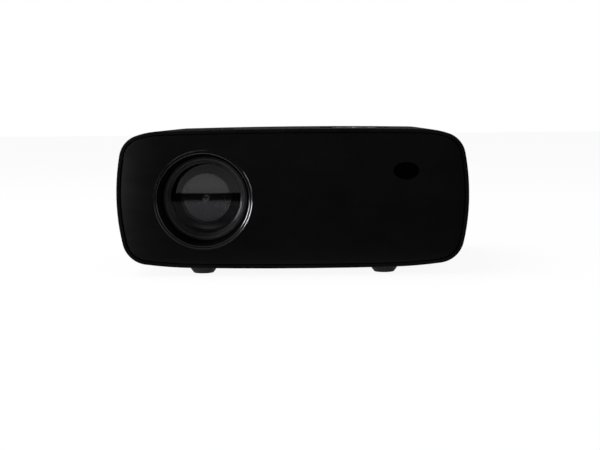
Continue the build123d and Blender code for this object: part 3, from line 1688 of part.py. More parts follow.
rod_ends = (disc_x - rod_far, disc_x - rod_near)
ear_posts = [
    (lens_x + side * (tunnel_width / 2 + tunnel_ear - tunnel_ear_reach), y)
    for side in (-1, 1)
    for y in (tunnel_y + tunnel_ear_inset, tunnel_end - tunnel_ear_inset)
]
mainboard_posts = [
    (x, y)
    for x in (board_left_x + board_hole_inset, board_left_x + mainboard_width - board_hole_inset)
    for y in (mainboard_front + board_hole_inset, mainboard_back - port_room)
]
power_board_posts = [
    (x, y)
    for x, front_room in (
        (board_left_x + board_hole_inset, board_hole_inset),
        (board_left_x + power_board_width - board_hole_inset, speaker_room),
    )
    for y in (
        power_board_front + front_room,
        power_board_front + power_board_length - board_hole_inset,
    )
]
board_posts = mainboard_posts + power_board_posts

# Parts on the boards: centre as shares of the board's width and length, then their sizes.
mainboard_blocks = (
    (0.533, 0.408, 28.0, 28.0, 3.0),  # processor
    (0.2, 0.252, 10.0, 12.0, 1.4),  # memory
    (0.2, 0.427, 10.0, 12.0, 1.4),
    (0.844, 0.291, 10.0, 12.0, 1.4),
    (0.178, 0.602, 9.0, 9.0, 4.5),  # coils
    (0.667, 0.68, 9.0, 9.0, 4.5),
    (0.533, 0.816, 9.0, 9.0, 4.5),
    (0.333, 0.049, 22.0, 5.0, 7.0),  # headers
    (0.689, 0.049, 16.0, 5.0, 7.0),
)
mainboard_cans = ((0.333, 0.641, 4.0, 11.0), (0.844, 0.505, 4.0, 11.0), (0.844, 0.621, 4.0, 11.0))
power_board_blocks = (
    (0.528, 0.548, 30.0, 26.0, 22.0),  # transformer winding and core
    (0.528, 0.548, 34.0, 18.0, 17.0),
    (0.528, 0.167, 20.0, 16.0, 14.0),  # choke
    (0.358, 0.786, 22.0, 3.0, 20.0),  # heat sinks
    (0.774, 0.5, 3.0, 26.0, 20.0),
    (0.792, 0.095, 20.0, 8.0, 9.0),  # mains plug
)
power_board_cans = ((0.208, 0.619, 9.0, 26.0), (0.755, 0.786, 5.0, 16.0), (0.868, 0.786, 5.0, 16.0))
chip_fin_count = 6
chip_fin_pitch = 4.6
chip_fin = (1.6, 28.0, 10.0)


def bare_board(x_low, x_high, y_low, y_high):
    """A circuit board with clearance for the drive's posts and its own screws."""
    board = block(x_low, x_high, y_low, y_high, board_z, board_top)
    for x, y in drive_posts:
        board -= rod_z(x, y, drive_post_radius + post_clear, board_z - over, board_top + over)
    for x, y in board_posts:
        board -= rod_z(x, y, small_screw_radius + screw_clear, board_z - over, board_top + over)
    return board


def fitted_board(width, front, length, blocks, cans):
    """A board with its boxed parts and its upright cans."""
    board = bare_board(board_left_x, board_left_x + width, front, front + length)
    for across, along, size_x, size_y, height in blocks:
        x, y = board_left_x + across * width, front + along * length
        board += on_board(x, y, size_x, size_y, height)
    for across, along, radius, height in cans:
        x, y = board_left_x + across * width, front + along * length
        board += rod_z(x, y, radius, board_top - bite, board_top + height)
    return board


def on_board(x, y, width, length, height):
    """A boxed part standing on a board."""
    half_x, half_y = width / 2, length / 2
    return block(x - half_x, x + half_x, y - half_y, y + half_y, board_top - bite, board_top + height)


def make_mainboard():
    """Main board: processor with its heat sink, memory, coils, capacitors and headers."""
    board = fitted_board(
        mainboard_width, mainboard_front, mainboard_length, mainboard_blocks, mainboard_cans
    )
    across, along = mainboard_blocks[0][:2]
    middle = board_left_x + across * mainboard_width
    y = mainboard_front + along * mainboard_length
    for i in range(chip_fin_count):
        x = middle + (i - (chip_fin_count - 1) / 2) * chip_fin_pitch
        board += on_board(x, y, *chip_fin)
    return one(board)


def make_power_board():
    """Power board: transformer, reservoir capacitor, choke, heat sinks and connectors."""
    return one(
        fitted_board(
            power_board_width,
            power_board_front,
            power_board_length,
            power_board_blocks,
            power_board_cans,
        )
    )


def make_control_board():
    """Key board under the deck, with a switch below each key."""
    half_w, half_l = deck_width / 2 - control_board_inset, deck_length / 2 - control_board_inset
    low = control_board_top - board_thickness
    board = block(
        deck_x - half_w, deck_x + half_w, deck_y - half_l, deck_y + half_l, low, control_board_top
    )
    for x, y in control_posts:
        board -= rod_z(x, y, small_screw_radius + screw_clear, low - over, control_board_top + over)
    half = switch_size / 2
    for _, (x, y) in key_places(0).values():
        body_top = switch_top - switch_button
        board += block(x - half, x + half, y - half, y + half, control_board_top - bite, body_top)
        board += rod_z(x, y, key_stem_radius, body_top - bite, switch_top)
    return one(board)


def make_key(name):
    """One key: cap through the deck, flange under it and a stem to its switch."""
    cap, (x, y) = key_places(0)[name]
    spread = key_flange if name in key_faces(0) else key_gap + key_flange
    flange = key_places(spread)[name][0]
    cap_top = deck_top + deck_recess
    low = key_flange_top - key_flange_thickness
    key = along_z(cap, low + key_root, cap_top)
    key += along_z(flange, low, key_flange_top)
    key += rod_z(x, y, key_stem_radius, low - key_stem_length, low + bite)
    return one(key)


def make_hdmi_port():
    """Video socket: steel shell with a tongue."""
    y_low, y_high = rear_face_y - hdmi_depth, rear_face_y - socket_setback
    low, high = board_top, board_top + hdmi_height
    half = hdmi_width / 2
    port = block(hdmi_x - half, hdmi_x + half, y_low, y_high, low, high)
    inner = half - hdmi_wall
    inside = (hdmi_x - inner, hdmi_x + inner, y_low + hdmi_back, y_high + over)
    port -= block(*inside, low + hdmi_sheet, high - hdmi_sheet)
    middle = (low + high) / 2
    tongue = (hdmi_x - tongue_half, hdmi_x + tongue_half, y_low + hdmi_back - over, y_high - socket_end)
    return one(port + block(*tongue, middle - hdmi_tongue / 2, middle + hdmi_tongue / 2))


def make_usb_port():
    """Data socket: steel shell with a tongue near its top."""
    y_low, y_high = rear_face_y - usb_depth, rear_face_y - socket_setback
    low, high = board_top, board_top + usb_height
    half = usb_width / 2
    port = block(usb_x - half, usb_x + half, y_low, y_high, low, high)
    inner = half - usb_wall
    inside = (usb_x - inner, usb_x + inner, y_low + usb_back, y_high + over)
    port -= block(*inside, low + usb_sheet, high - usb_sheet)
    tongue = (usb_x - tongue_half, usb_x + tongue_half, y_low + usb_back - over, y_high - socket_end)
    return one(port + block(*tongue, high - usb_tongue[0], high - usb_tongue[1]))


def make_audio_jacks():
    """Two round sound sockets."""
    pieces = []
    for x in jack_xs:
        half = jack_body[0] / 2
        back = rear_back - jack_body_gap
        jack = block(x - half, x + half, back - jack_body_depth, back, board_top, board_top + jack_body[1])
        jack += rod_y(x, jack_z, jack_nose, back - over, rear_face_y)
        jack -= rod_y(x, jack_z, jack_bore, rear_face_y - jack_depth, rear_y + over)
        pieces.append(one(jack))
    return Compound(pieces)


def inlet_section(grow):
    """Body section of the mains inlet."""
    return RectangleRounded(inlet_width + 2 * grow, inlet_height + 2 * grow, inlet_corner)


def make_power_inlet():
    """Two-pin mains inlet with a figure-of-eight recess."""
    at = Pos(inlet_x, inlet_z)
    y_low, y_high = rear_back - inlet_depth, rear_face_y
    inlet = along_y(at * inlet_section(0), y_low, y_high)
    flange = at * RectangleRounded(
        inlet_width + 2 * inlet_flange, inlet_height + 2 * inlet_flange, inlet_flange_corner
    )
    inlet += along_y(flange, y_high, y_high + rear_recess)
    recess = Rectangle(2 * inlet_pin_spread, inlet_recess_height)
    for sign in (-1, 1):
        recess += Pos(sign * inlet_pin_spread, 0) * Circle(inlet_recess_radius)
    inlet -= along_y(at * recess, y_low + inlet_floor, rear_y + over)
    for sign in (-1, 1):
        x = inlet_x + sign * inlet_pin_spread
        inlet += rod_y(x, inlet_z, inlet_pin_radius, y_low + inlet_floor - over, y_high - inlet_pin_setback)
    return one(inlet)


def make_speaker():
    """Round loudspeaker: flange, basket, magnet and a hollow cone."""
    x = speaker_x
    body = rod_x(speaker_y, speaker_z, speaker_radius, x - speaker_flange, x)
    basket = speaker_radius - speaker_basket_inset
    body += rod_x(speaker_y, speaker_z, basket, x - speaker_basket_depth, x - over)
    magnet = speaker_radius - speaker_magnet_inset
    magnet_end = x - speaker_basket_depth + over
    body += rod_x(speaker_y, speaker_z, magnet, x - speaker_depth, magnet_end)
    cone = Solid.make_cone(speaker_radius - speaker_cone_rim, speaker_cone_end, speaker_cone_depth)
    body -= Pos(x, speaker_y, speaker_z) * Rot(0, -90, 0) * Part(cone.wrapped)
    return one(body)


# ---------------------------------------------------------------- build and write
def main():
    body = housing_body()
    pieces = {
        "top_cover": make_top_cover(body),
        "bottom_cover": make_bottom_cover(body),
        "front_fascia": make_front_fascia(),
        "rear_panel": make_rear_panel(),
        "ir_window": make_ir_window(),
        "lens_trim_ring": make_lens_trim_ring(),
        "lens_hood": make_lens_hood(),
        "rubber_feet": make_rubber_feet(),
        "tripod_insert": make_tripod_insert(),
        "case_screws": make_case_screws(),
        "inner_screws": make_inner_screws(),
        "lens_mount_tube": make_lens_mount_tube(),
        "lens_flange": make_lens_flange(),
        "lens_barrel": make_lens_barrel(),
        "lens_retainer": make_lens_retainer(),
        "front_lens": make_front_lens(),
        "middle_lens": make_middle_lens(),
        "lens_spacer": make_lens_spacer(),
        "rear_lens": make_rear_lens(),
        "focus_pins": make_focus_pins(),
        "focus_ring": make_focus_ring(),
        "keystone_ring": make_keystone_ring(),
        "ring_clip": make_ring_clip(),
        "keystone_slider": make_keystone_slider(),
        "light_tunnel": make_light_tunnel(),
        "lcd_frame": make_lcd_frame(),
        "lcd_panel": make_lcd_panel(),
        "fresnel_lenses": make_fresnel_lenses(),
        "heat_glass": make_heat_glass(),
        "condenser_lens": make_condenser_lens(),
        "led_board": make_led_board(),
        "heat_sink": make_heat_sink(),
        "fan_frame": make_fan_frame(),
        "fan_rotor": make_fan_rotor(),
        "drive_chassis": make_drive_chassis(),
        "drive_lid": make_drive_lid(),
        "drive_rails": make_drive_rails(),
        "disc_tray": make_disc_tray(),
        "tray_bezel": make_tray_bezel(body),
        "eject_button": make_eject_button(body),
        "traverse_frame": make_traverse_frame(),
        "spindle_hub": make_spindle_hub(),
        "pickup_sled": make_pickup_sled(),
        "guide_rods": make_guide_rods(),
        "lead_screw": make_lead_screw(),
        "mainboard": make_mainboard(),
        "power_board": make_power_board(),
        "control_board": make_control_board(),
        "speaker": make_speaker(),
        "power_inlet": make_power_inlet(),
        "hdmi_port": make_hdmi_port(),
        "usb_port": make_usb_port(),
        "audio_jacks": make_audio_jacks(),
    }
    for name in key_places(0):
        pieces[name] = make_key(name)
    os.makedirs("parts", exist_ok=True)
    for name, shape in pieces.items():
        export_step(shape, f"parts/{name}.step")


main()
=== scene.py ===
from math import cos, pi, radians, sin, tau

import bpy
import numpy as np
from mathutils import Matrix, Vector


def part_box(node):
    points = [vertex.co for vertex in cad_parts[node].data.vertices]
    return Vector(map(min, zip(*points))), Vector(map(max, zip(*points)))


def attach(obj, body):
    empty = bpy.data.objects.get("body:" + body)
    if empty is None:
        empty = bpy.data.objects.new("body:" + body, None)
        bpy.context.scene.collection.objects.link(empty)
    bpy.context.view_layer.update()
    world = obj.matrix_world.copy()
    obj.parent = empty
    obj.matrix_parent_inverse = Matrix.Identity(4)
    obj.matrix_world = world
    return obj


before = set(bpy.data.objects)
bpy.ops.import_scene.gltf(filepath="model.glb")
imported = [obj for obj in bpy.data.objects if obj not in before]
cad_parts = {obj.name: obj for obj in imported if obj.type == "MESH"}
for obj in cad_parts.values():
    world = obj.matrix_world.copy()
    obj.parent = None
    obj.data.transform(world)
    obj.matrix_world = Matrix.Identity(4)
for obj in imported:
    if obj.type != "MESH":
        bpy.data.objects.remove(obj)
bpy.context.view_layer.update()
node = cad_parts

# ---------------------------------------------------------------- the view
# A long lens stands a metre before the face panel and just above the roof's height. It looks
# down 5 and left 1.2 degrees, and hangs half a degree off level.
camera = bpy.data.objects.new("camera", bpy.data.cameras.new("camera"))
camera.data.sensor_width = 36.0
camera.data.lens = 75.95
camera.data.clip_start = 0.02
turned_left, looks_down, off_level = radians(1.16), radians(5.01), radians(-0.55)
stand = Matrix.Translation((0.02615, -1.105, 0.128))
aim = Matrix.Rotation(turned_left, 4, "Z") @ Matrix.Rotation(pi / 2 - looks_down, 4, "X")
camera.matrix_world = stand @ aim @ Matrix.Rotation(off_level, 4, "Z")
bpy.context.scene.collection.objects.link(camera)
bpy.context.scene.camera = camera
bpy.context.scene.view_settings.view_transform = "Standard"


# ---------------------------------------------------------------- table and room
# A white table without an end in a white room. To gloss and glass the room's far half is pale,
# its near half pale above eye level and dark below, and the table white from the object on.
def put(tree, kind, settings=(), **inputs):
    """Adds a shader node. Settings are its properties, inputs its sockets by name or _number."""
    made = tree.nodes.new("ShaderNode" + kind)
    for key, value in dict(settings).items():
        setattr(made, key, value)
    for key, value in inputs.items():
        socket = made.inputs[int(key[1:]) if key[1:].isdigit() else key.replace("_", " ")]
        if isinstance(value, bpy.types.NodeSocket):
            tree.links.new(value, socket)
        else:
            socket.default_value = value
    return made


def calc(tree, operation, first, second=0.0, third=0.0):
    """A Math node's result."""
    return put(tree, "Math", {"operation": operation}, _0=first, _1=second, _2=third).outputs[0]


def spot(tree):
    """Object coordinates."""
    return put(tree, "TexCoord").outputs["Object"]


def along(tree, vector, axis, start, end, low=0.0, high=1.0):
    """Low before start and high after end, smoothly between, by one part of a vector."""
    parts = put(tree, "SeparateXYZ", Vector=vector)
    return put(tree, "MapRange", {"interpolation_type": "SMOOTHSTEP"}, Value=parts.outputs[axis],
               From_Min=start, From_Max=end, To_Min=low, To_Max=high).outputs[0]


def seen_white(tree, mirrored):
    """One for the eye's rays, and mirrored for the rays that gloss and glass send on."""
    path = put(tree, "LightPath")
    sent_on = calc(tree, "MAXIMUM", path.outputs["Is Glossy Ray"], path.outputs["Is Transmission Ray"])
    held = calc(tree, "MULTIPLY", sent_on, mirrored)
    return calc(tree, "MAXIMUM", path.outputs["Is Camera Ray"], held), sent_on


def flat_grid(width, steps):
    """A level square of steps by steps quads, at height 0: x and y are one even row, crossed."""
    row = np.linspace(-width / 2, width / 2, steps + 1)
    x, y = np.meshgrid(row, row)
    return np.stack([x, y, 0 * x], -1)


def surface(name, points, around=False, looped=False, smooth=True):
    """Object from a grid of points (rows, columns, 3). Around closes the columns, looped the rows."""
    rows, columns = points.shape[:2]
    i = np.arange(rows if looped else rows - 1)[:, None]
    j = np.arange(columns if around else columns - 1)[None]
    right, below = (j + 1) % columns, (i + 1) % rows
    corners = [i * columns + j, i * columns + right, below * columns + right, below * columns + j]
    faces = np.stack(np.broadcast_arrays(*corners), -1).reshape(-1, 4)
    mesh = bpy.data.meshes.new(name)
    mesh.from_pydata(points.reshape(-1, 3).tolist(), [], faces.tolist())
    mesh.polygons.foreach_set("use_smooth", np.full(len(faces), smooth))
    mesh.update()
    made = bpy.data.objects.new(name, mesh)
    bpy.context.scene.collection.objects.link(made)
    return made


table = surface("table", flat_grid(14.0, 4))
table_finish = bpy.data.materials.new("white_table")
table_finish.use_nodes = True
tree = table_finish.node_tree
tree.nodes.clear()
dark_until, white_from = -0.185, -0.115
white, sent_on = seen_white(tree, along(tree, spot(tree), "Y", dark_until, white_from))
paint_lit, paint_mirrored = 0.8, 0.01
paint = calc(tree, "MULTIPLY_ADD", sent_on, paint_mirrored - paint_lit, paint_lit)
matt = put(tree, "BsdfDiffuse", Color=put(tree, "CombineColor", _0=paint, _1=paint, _2=paint).outputs[0])
glow = put(tree, "Emission", Color=(1.0, 1.0, 1.0, 1.0), Strength=1.0)
shadow_kept = 0.08
mixed = put(tree, "MixShader", _0=calc(tree, "MULTIPLY", white, 1.0 - shadow_kept), _1=matt.outputs[0],
            _2=glow.outputs[0])
put(tree, "OutputMaterial", Surface=mixed.outputs[0])
table.data.materials.append(table_finish)

world = bpy.data.worlds.new("room")
world.use_nodes = True
bpy.context.scene.world = world
tree = world.node_tree
tree.nodes.clear()
way = put(tree, "TexCoord").outputs["Generated"]
far = along(tree, way, "Y", 0.15, 0.7, 0.0, 0.45)
over_eyes = along(tree, way, "Z", -0.012, 0.012)
above = calc(tree, "MULTIPLY", over_eyes, along(tree, way, "Z", 0.0, 0.8, 0.42, 0.12))
white, sent_on = seen_white(tree, calc(tree, "MAXIMUM", far, above))
bright, soft, dim = [put(tree, "Background", Color=(1.0, 1.0, 1.0, 1.0), Strength=strength).outputs[0]
                     for strength in (1.0, 0.55, 0.004)]
lit = put(tree, "MixShader", _0=sent_on, _1=soft, _2=dim)
room = put(tree, "MixShader", _0=white, _1=lit.outputs[0], _2=bright)
put(tree, "OutputWorld", Surface=room.outputs[0])


def softbox(name, place, towards, width, height, power):
    """A rectangular lamp at place that faces the point towards."""
    lamp = bpy.data.lights.new(name, "AREA")
    lamp.shape, lamp.size, lamp.size_y, lamp.energy = "RECTANGLE", width, height, power
    made = bpy.data.objects.new(name, lamp)
    back = Vector(place) - Vector(towards)
    made.matrix_world = Matrix.Translation(place) @ back.to_track_quat("Z", "Y").to_matrix().to_4x4()
    bpy.context.scene.collection.objects.link(made)


softbox("key_box", (-1.6, -1.2, 0.38), (0.0, -0.05, 0.06), 0.5, 0.7, 30.0)
softbox("top_box", (-0.9, 0.05, 1.75), (0.0, 0.0, 0.08), 1.3, 1.2, 28.0)
softbox("right_box", (1.9, -0.4, 0.8), (0.0, 0.0, 0.06), 0.5, 0.9, 9.0)


# ---------------------------------------------------------------- moulded shells
# Upper and lower shell are injection-moulded ABS, black through and through. The tool was
# spark-eroded, so every face has fine pits, and handling has polished the edges a little.
def new_group(name, inputs, outputs):
    """A shader group with float inputs (name: value) and outputs (name: type)."""
    group = bpy.data.node_groups.new(name, "ShaderNodeTree")
    for label, value in inputs.items():
        socket = group.interface.new_socket(name=label, in_out="INPUT", socket_type="NodeSocketFloat")
        socket.default_value = value
    for label, kind in outputs.items():
        group.interface.new_socket(name=label, in_out="OUTPUT", socket_type="NodeSocket" + kind)
    return group, group.nodes.new("NodeGroupInput"), group.nodes.new("NodeGroupOutput")


def spread(tree, value, low, high, start=0.3, end=0.7):
    """Maps value from start..end to low..high."""
    return put(tree, "MapRange", Value=value, From_Min=start, From_Max=end, To_Min=low,
               To_Max=high).outputs[0]


# Pits: noise at the pit size. Clouds: slow noise, for tone. Smears: slanting noise, for polish.
mould_grain, given, result = new_group(
    "mould_grain", {"Pit size": 0.0005, "Cloud size": 0.03},
    {"Height": "Float", "Cloud": "Float", "Smear": "Float"})
place = spot(mould_grain)
pits = put(mould_grain, "TexNoise", Vector=place, Detail=2.0, Roughness=0.6,
           Scale=calc(mould_grain, "DIVIDE", 1.0, given.outputs["Pit size"]))
clouds = put(mould_grain, "TexNoise", Vector=place, Detail=3.0, Roughness=0.5,
             Scale=calc(mould_grain, "DIVIDE", 1.0, given.outputs["Cloud size"]))
slanted = put(mould_grain, "Mapping", Vector=place, Scale=(1.0, 1.0, 3.5), Rotation=(0.0, 0.5, 0.2))
smears = put(mould_grain, "TexNoise", Vector=slanted.outputs[0], Scale=26.0, Detail=4.0, Roughness=0.62,
             Distortion=0.8)
mould_grain.links.new(pits.outputs[0], result.inputs["Height"])
mould_grain.links.new(clouds.outputs[0], result.inputs["Cloud"])
mould_grain.links.new(smears.outputs[0], result.inputs["Smear"])

# Worn edges: where the normal rounded over a width differs from the true one, broken by noise.
worn_edges, given, result = new_group("worn_edges", {"Width": 0.0008, "Amount": 1.0}, {"Mask": "Float"})
rounded = put(worn_edges, "Bevel", {"samples": 4}, Radius=given.outputs["Width"])
true = put(worn_edges, "NewGeometry")
alike = put(worn_edges, "VectorMath", {"operation": "DOT_PRODUCT"}, _0=rounded.outputs[0],
            _1=true.outputs["Normal"])
turned_away = spread(worn_edges, alike.outputs["Value"], 0.0, 1.0, 0.995, 0.8)
broken = put(worn_edges, "TexNoise", Vector=spot(worn_edges), Scale=240.0, Detail=3.0)
patchy = spread(worn_edges, broken.outputs[0], 0.3, 1.0, 0.35, 0.65)
shown = calc(worn_edges, "MULTIPLY", turned_away, patchy)
worn_edges.links.new(calc(worn_edges, "MULTIPLY", shown, given.outputs["Amount"]), result.inputs["Mask"])


def use(tree, group, **inputs):
    """Places a shader group in a material."""
    made = put(tree, "Group", {"node_tree": group})
    for key, value in inputs.items():
        made.inputs[key.replace("_", " ")].default_value = value
    return made.outputs


def tint(tree, share, first, second):
    """Colour between two by a share. Each is a colour or a socket."""
    first, second = (c if isinstance(c, bpy.types.NodeSocket) else (*c, 1.0) for c in (first, second))
    return put(tree, "Mix", {"data_type": "RGBA"}, _0=share, _6=first, _7=second).outputs[2]


def shader_of(finish):
    """The shader that a material came with."""
    return finish.node_tree.nodes["Principled BSDF"]


def blank(name):
    """A material with its tree and its shader."""
    made = bpy.data.materials.new(name)
    made.use_nodes = True
    return made, made.node_tree, shader_of(made)


def plastic(name, dark, light, rough=(0.36, 0.5), pit=0.0005, depth=0.00003, gloss=0.3, worn=0.6):
    """Moulded plastic: two close tones clouded together, pits as bump, polish in smears."""
    made, tree, shader = blank(name)
    grain = use(tree, mould_grain, Pit_size=pit)
    edge = use(tree, worn_edges, Amount=worn)["Mask"]
    cloudy = tint(tree, spread(tree, grain["Cloud"], 0.0, 1.0), dark, light)
    paler = [min(1.0, 2.2 * c + 0.004) for c in light]
    tree.links.new(tint(tree, edge, cloudy, paler), shader.inputs["Base Color"])
    polish = spread(tree, grain["Smear"], *rough)
    tree.links.new(calc(tree, "MULTIPLY_ADD", edge, -0.12, polish), shader.inputs["Roughness"])
    pitted = put(tree, "Bump", Height=grain["Height"], Distance=depth)
    tree.links.new(pitted.outputs[0], shader.inputs["Normal"])
    shader.inputs["Specular IOR Level"].default_value = gloss
    return made


def dress(finish, *names):
    """Gives CAD nodes a finish in every material slot."""
    for name in names:
        for holder in node[name].material_slots:
            holder.material = finish


dress(plastic("shell_black", (0.0016, 0.0016, 0.0018), (0.0028, 0.0028, 0.0031), rough=(0.52, 0.64),
              gloss=0.02, worn=0.3), "top_cover", "bottom_cover")

# ---------------------------------------------------------------- face panel
# A smooth satin moulding set inside the shells' rims, darker than they are and with hardly any
# grain. Its last 36 mm at each end draw back, up to 5 degrees, so the ends catch the side light.
def parted(tree):
    """The three parts X, Y and Z of the object coordinates."""
    return put(tree, "SeparateXYZ", Vector=spot(tree)).outputs


face_finish = plastic("face_black", (0.0009, 0.0009, 0.0010), (0.0014, 0.0014, 0.0015), (0.28, 0.34),
                      pit=0.0007, depth=0.00001, gloss=0.12, worn=0.3)
tree = face_finish.node_tree
flat_until, curve = 0.101, -3.4  # metres from the middle, and metres back over metres squared
across = calc(tree, "ABSOLUTE", parted(tree)["X"])
past = calc(tree, "MAXIMUM", calc(tree, "SUBTRACT", across, flat_until), 0.0)
drawn_back = calc(tree, "MULTIPLY", calc(tree, "MULTIPLY", past, past), curve)
bent = put(tree, "Bump", Height=drawn_back, Distance=1.0, Normal=tree.nodes["Bump"].outputs[0])
tree.links.new(bent.outputs[0], shader_of(face_finish).inputs["Normal"])
dress(face_finish, "front_fascia")

# ---------------------------------------------------------------- receiver window
# The remote's receiver sits behind an oval of smoked acrylic, black to the eye and polished.
window, tree, shader = blank("smoked_acrylic")
grain = use(tree, mould_grain, Pit_size=0.004)
tree.links.new(tint(tree, grain["Cloud"], (0.0002, 0.0002, 0.0003), (0.0004, 0.0003, 0.0005)),
               shader.inputs["Base Color"])
tree.links.new(spread(tree, grain["Smear"], 0.04, 0.12), shader.inputs["Roughness"])
shader.inputs["Specular IOR Level"].default_value = 0.03
rippled = put(tree, "Bump", Height=grain["Height"], Distance=0.000004)
tree.links.new(rippled.outputs[0], shader.inputs["Normal"])
dress(window, "ir_window")

# ---------------------------------------------------------------- lens surround
# The trim ring is turned aluminium, anodised black, with its two lips cut bright afterwards.
# Behind it a matt moulded hood with fine baffle ridges runs down to the barrel.
barrel_low, barrel_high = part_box("lens_barrel")
lens_x, lens_z = (barrel_low.x + barrel_high.x) / 2, (barrel_low.z + barrel_high.z) / 2
trim_low, trim_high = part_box("lens_trim_ring")


def from_axis(tree, point, across=(1.0, 0.0, 1.0)):
    """Distance to the axis through a point. Across is one for the two directions square to it."""
    here = put(tree, "Mapping", Vector=spot(tree), Location=[-part for part in point])
    flat = put(tree, "VectorMath", {"operation": "MULTIPLY"}, _0=here.outputs[0], _1=across)
    return put(tree, "VectorMath", {"operation": "LENGTH"}, _0=flat.outputs[0]).outputs["Value"]


def from_lens_axis(tree):
    """Distance to the lens axis."""
    return from_axis(tree, (lens_x, 0.0, lens_z))


# Lathe marks: rings about the lens axis at the tool's feed, from the distance to the axis.
lathe_marks, given, result = new_group("lathe_marks", {"Feed": 0.00018}, {"Height": "Float", "Band": "Float"})
slant = calc(lathe_marks, "ADD", from_lens_axis(lathe_marks), parted(lathe_marks)["Y"])
turns = calc(lathe_marks, "DIVIDE", slant, given.outputs["Feed"])
wave = calc(lathe_marks, "SINE", calc(lathe_marks, "MULTIPLY", turns, tau))
band = put(lathe_marks, "TexNoise", {"noise_dimensions": "1D"}, W=calc(lathe_marks, "MULTIPLY", slant, 900.0),
           Detail=3.0)
lathe_marks.links.new(wave, result.inputs["Height"])
lathe_marks.links.new(band.outputs[0], result.inputs["Band"])


def turned(name, dark, light, rough, gloss, feed=0.00018, depth=0.000004):
    """A surface turned about the lens axis: rings of slightly different tone and polish."""
    made, tree, shader = blank(name)
    marks = use(tree, lathe_marks, Feed=feed)
    grain = use(tree, mould_grain, Pit_size=0.0003)
    tree.links.new(tint(tree, marks["Band"], dark, light), shader.inputs["Base Color"])
    tree.links.new(spread(tree, marks["Band"], *rough), shader.inputs["Roughness"])
    height = calc(tree, "MULTIPLY_ADD", grain["Height"], 0.5, marks["Height"])
    ringed = put(tree, "Bump", Height=height, Distance=depth)
    tree.links.new(ringed.outputs[0], shader.inputs["Normal"])
    shader.inputs["Specular IOR Level"].default_value = gloss
    return made, tree, shader


trim, tree, shader = turned("trim_anodised", (0.0012, 0.0012, 0.0013), (0.003, 0.003, 0.0032),
                            (0.32, 0.42), gloss=0.12)
hidden_flange, edge_blur = 0.0029, 0.0003
trim_radius = (trim_high.x - trim_low.x) / 2 - hidden_flange
outer_lip_from, inner_lip_until = trim_radius - 0.0011, trim_radius - 0.0024
reach = from_lens_axis(tree)
outer_lip = spread(tree, reach, 0.0, 1.0, outer_lip_from, outer_lip_from + edge_blur)
inner_lip = spread(tree, reach, 1.0, 0.0, inner_lip_until, inner_lip_until + edge_blur)
bright_cut = calc(tree, "MAXIMUM", outer_lip, inner_lip)
anodised = shader.inputs["Base Color"].links[0].from_socket
tree.links.new(tint(tree, bright_cut, anodised, (0.09, 0.09, 0.095)), shader.inputs["Base Color"])
tree.links.new(bright_cut, shader.inputs["Metallic"])
tree.links.new(spread(tree, bright_cut, 0.36, 0.16, 0.0, 1.0), shader.inputs["Roughness"])
dress(trim, "lens_trim_ring")

hood = turned("hood_matt", (0.0006, 0.0006, 0.0007), (0.0012, 0.0012, 0.0013), (0.6, 0.75),
              gloss=0.05, feed=0.0014, depth=0.0002)[0]
dress(hood, "lens_hood")

# ---------------------------------------------------------------- lens barrel
# Barrel, spacer and fixed tube are aluminium, turned and anodised black. The retaining ring is
# screwed in over the front glass, and its cone is left smoother than the rest.
def part_of(finish, mask, colour, rough):
    """Gives a finish another colour and roughness where a mask is one."""
    tree, shader = finish.node_tree, shader_of(finish)
    was = shader.inputs["Base Color"].links[0].from_socket
    was_rough = shader.inputs["Roughness"].links[0].from_socket
    tree.links.new(tint(tree, mask, was, colour), shader.inputs["Base Color"])
    mixed = put(tree, "Mix", {"data_type": "FLOAT"}, _0=mask, _2=was_rough, _3=rough)
    tree.links.new(mixed.outputs[0], shader.inputs["Roughness"])


barrel, tree, shader = turned("barrel_anodised", (0.006, 0.006, 0.0065), (0.014, 0.014, 0.015),
                              (0.3, 0.45), gloss=0.1)
# Inside the bore the finish turns matt, and its colour is painted near black: painted shade in the hollow.
bore = 0.0296
bore_shade_and_matt = spread(tree, from_lens_axis(tree), 1.0, 0.0, bore, bore + edge_blur)
part_of(barrel, bore_shade_and_matt, (0.0004, 0.0004, 0.0004), 0.8)
dress(barrel, "lens_barrel")
inside = turned("inside_anodised", (0.0015, 0.0015, 0.0016), (0.003, 0.003, 0.0032), (0.5, 0.65),
                gloss=0.1, feed=0.0006, depth=0.00005)[0]
dress(inside, "lens_spacer", "lens_mount_tube")
retainer = turned("retainer_anodised", (0.01, 0.01, 0.011), (0.02, 0.02, 0.022), (0.2, 0.3), gloss=0.8)[0]
dress(retainer, "lens_retainer")

# ---------------------------------------------------------------- lens glass
# Ground and polished elements. The front one is tinted grey, as painted shade that darkens the view
# into the shaded inside. A low index stands for the inner ones' antireflection coating. Front and
# middle one mirror the room more within the clear aperture.
def clear_glass(name, colour, ior):
    """Glass of an index, with a breath of haze in smears."""
    made, tree, shader = blank(name)
    grain = use(tree, mould_grain, Pit_size=0.002)
    cloudy = tint(tree, grain["Cloud"], colour, [0.97 * c for c in colour])
    tree.links.new(cloudy, shader.inputs["Base Color"])
    tree.links.new(spread(tree, grain["Smear"], 0.0, 0.012, 0.45, 0.8), shader.inputs["Roughness"])
    shader.inputs["Transmission Weight"].default_value = 1.0
    shader.inputs["IOR"].default_value = ior
    return made


def mirror_coat(finish, share, ior):
    """Adds a clear coat of an index to a finish, over a share of it."""
    shader = shader_of(finish)
    finish.node_tree.links.new(share, shader.inputs["Coat Weight"])
    shader.inputs["Coat IOR"].default_value = ior
    shader.inputs["Coat Roughness"].default_value = 0.0


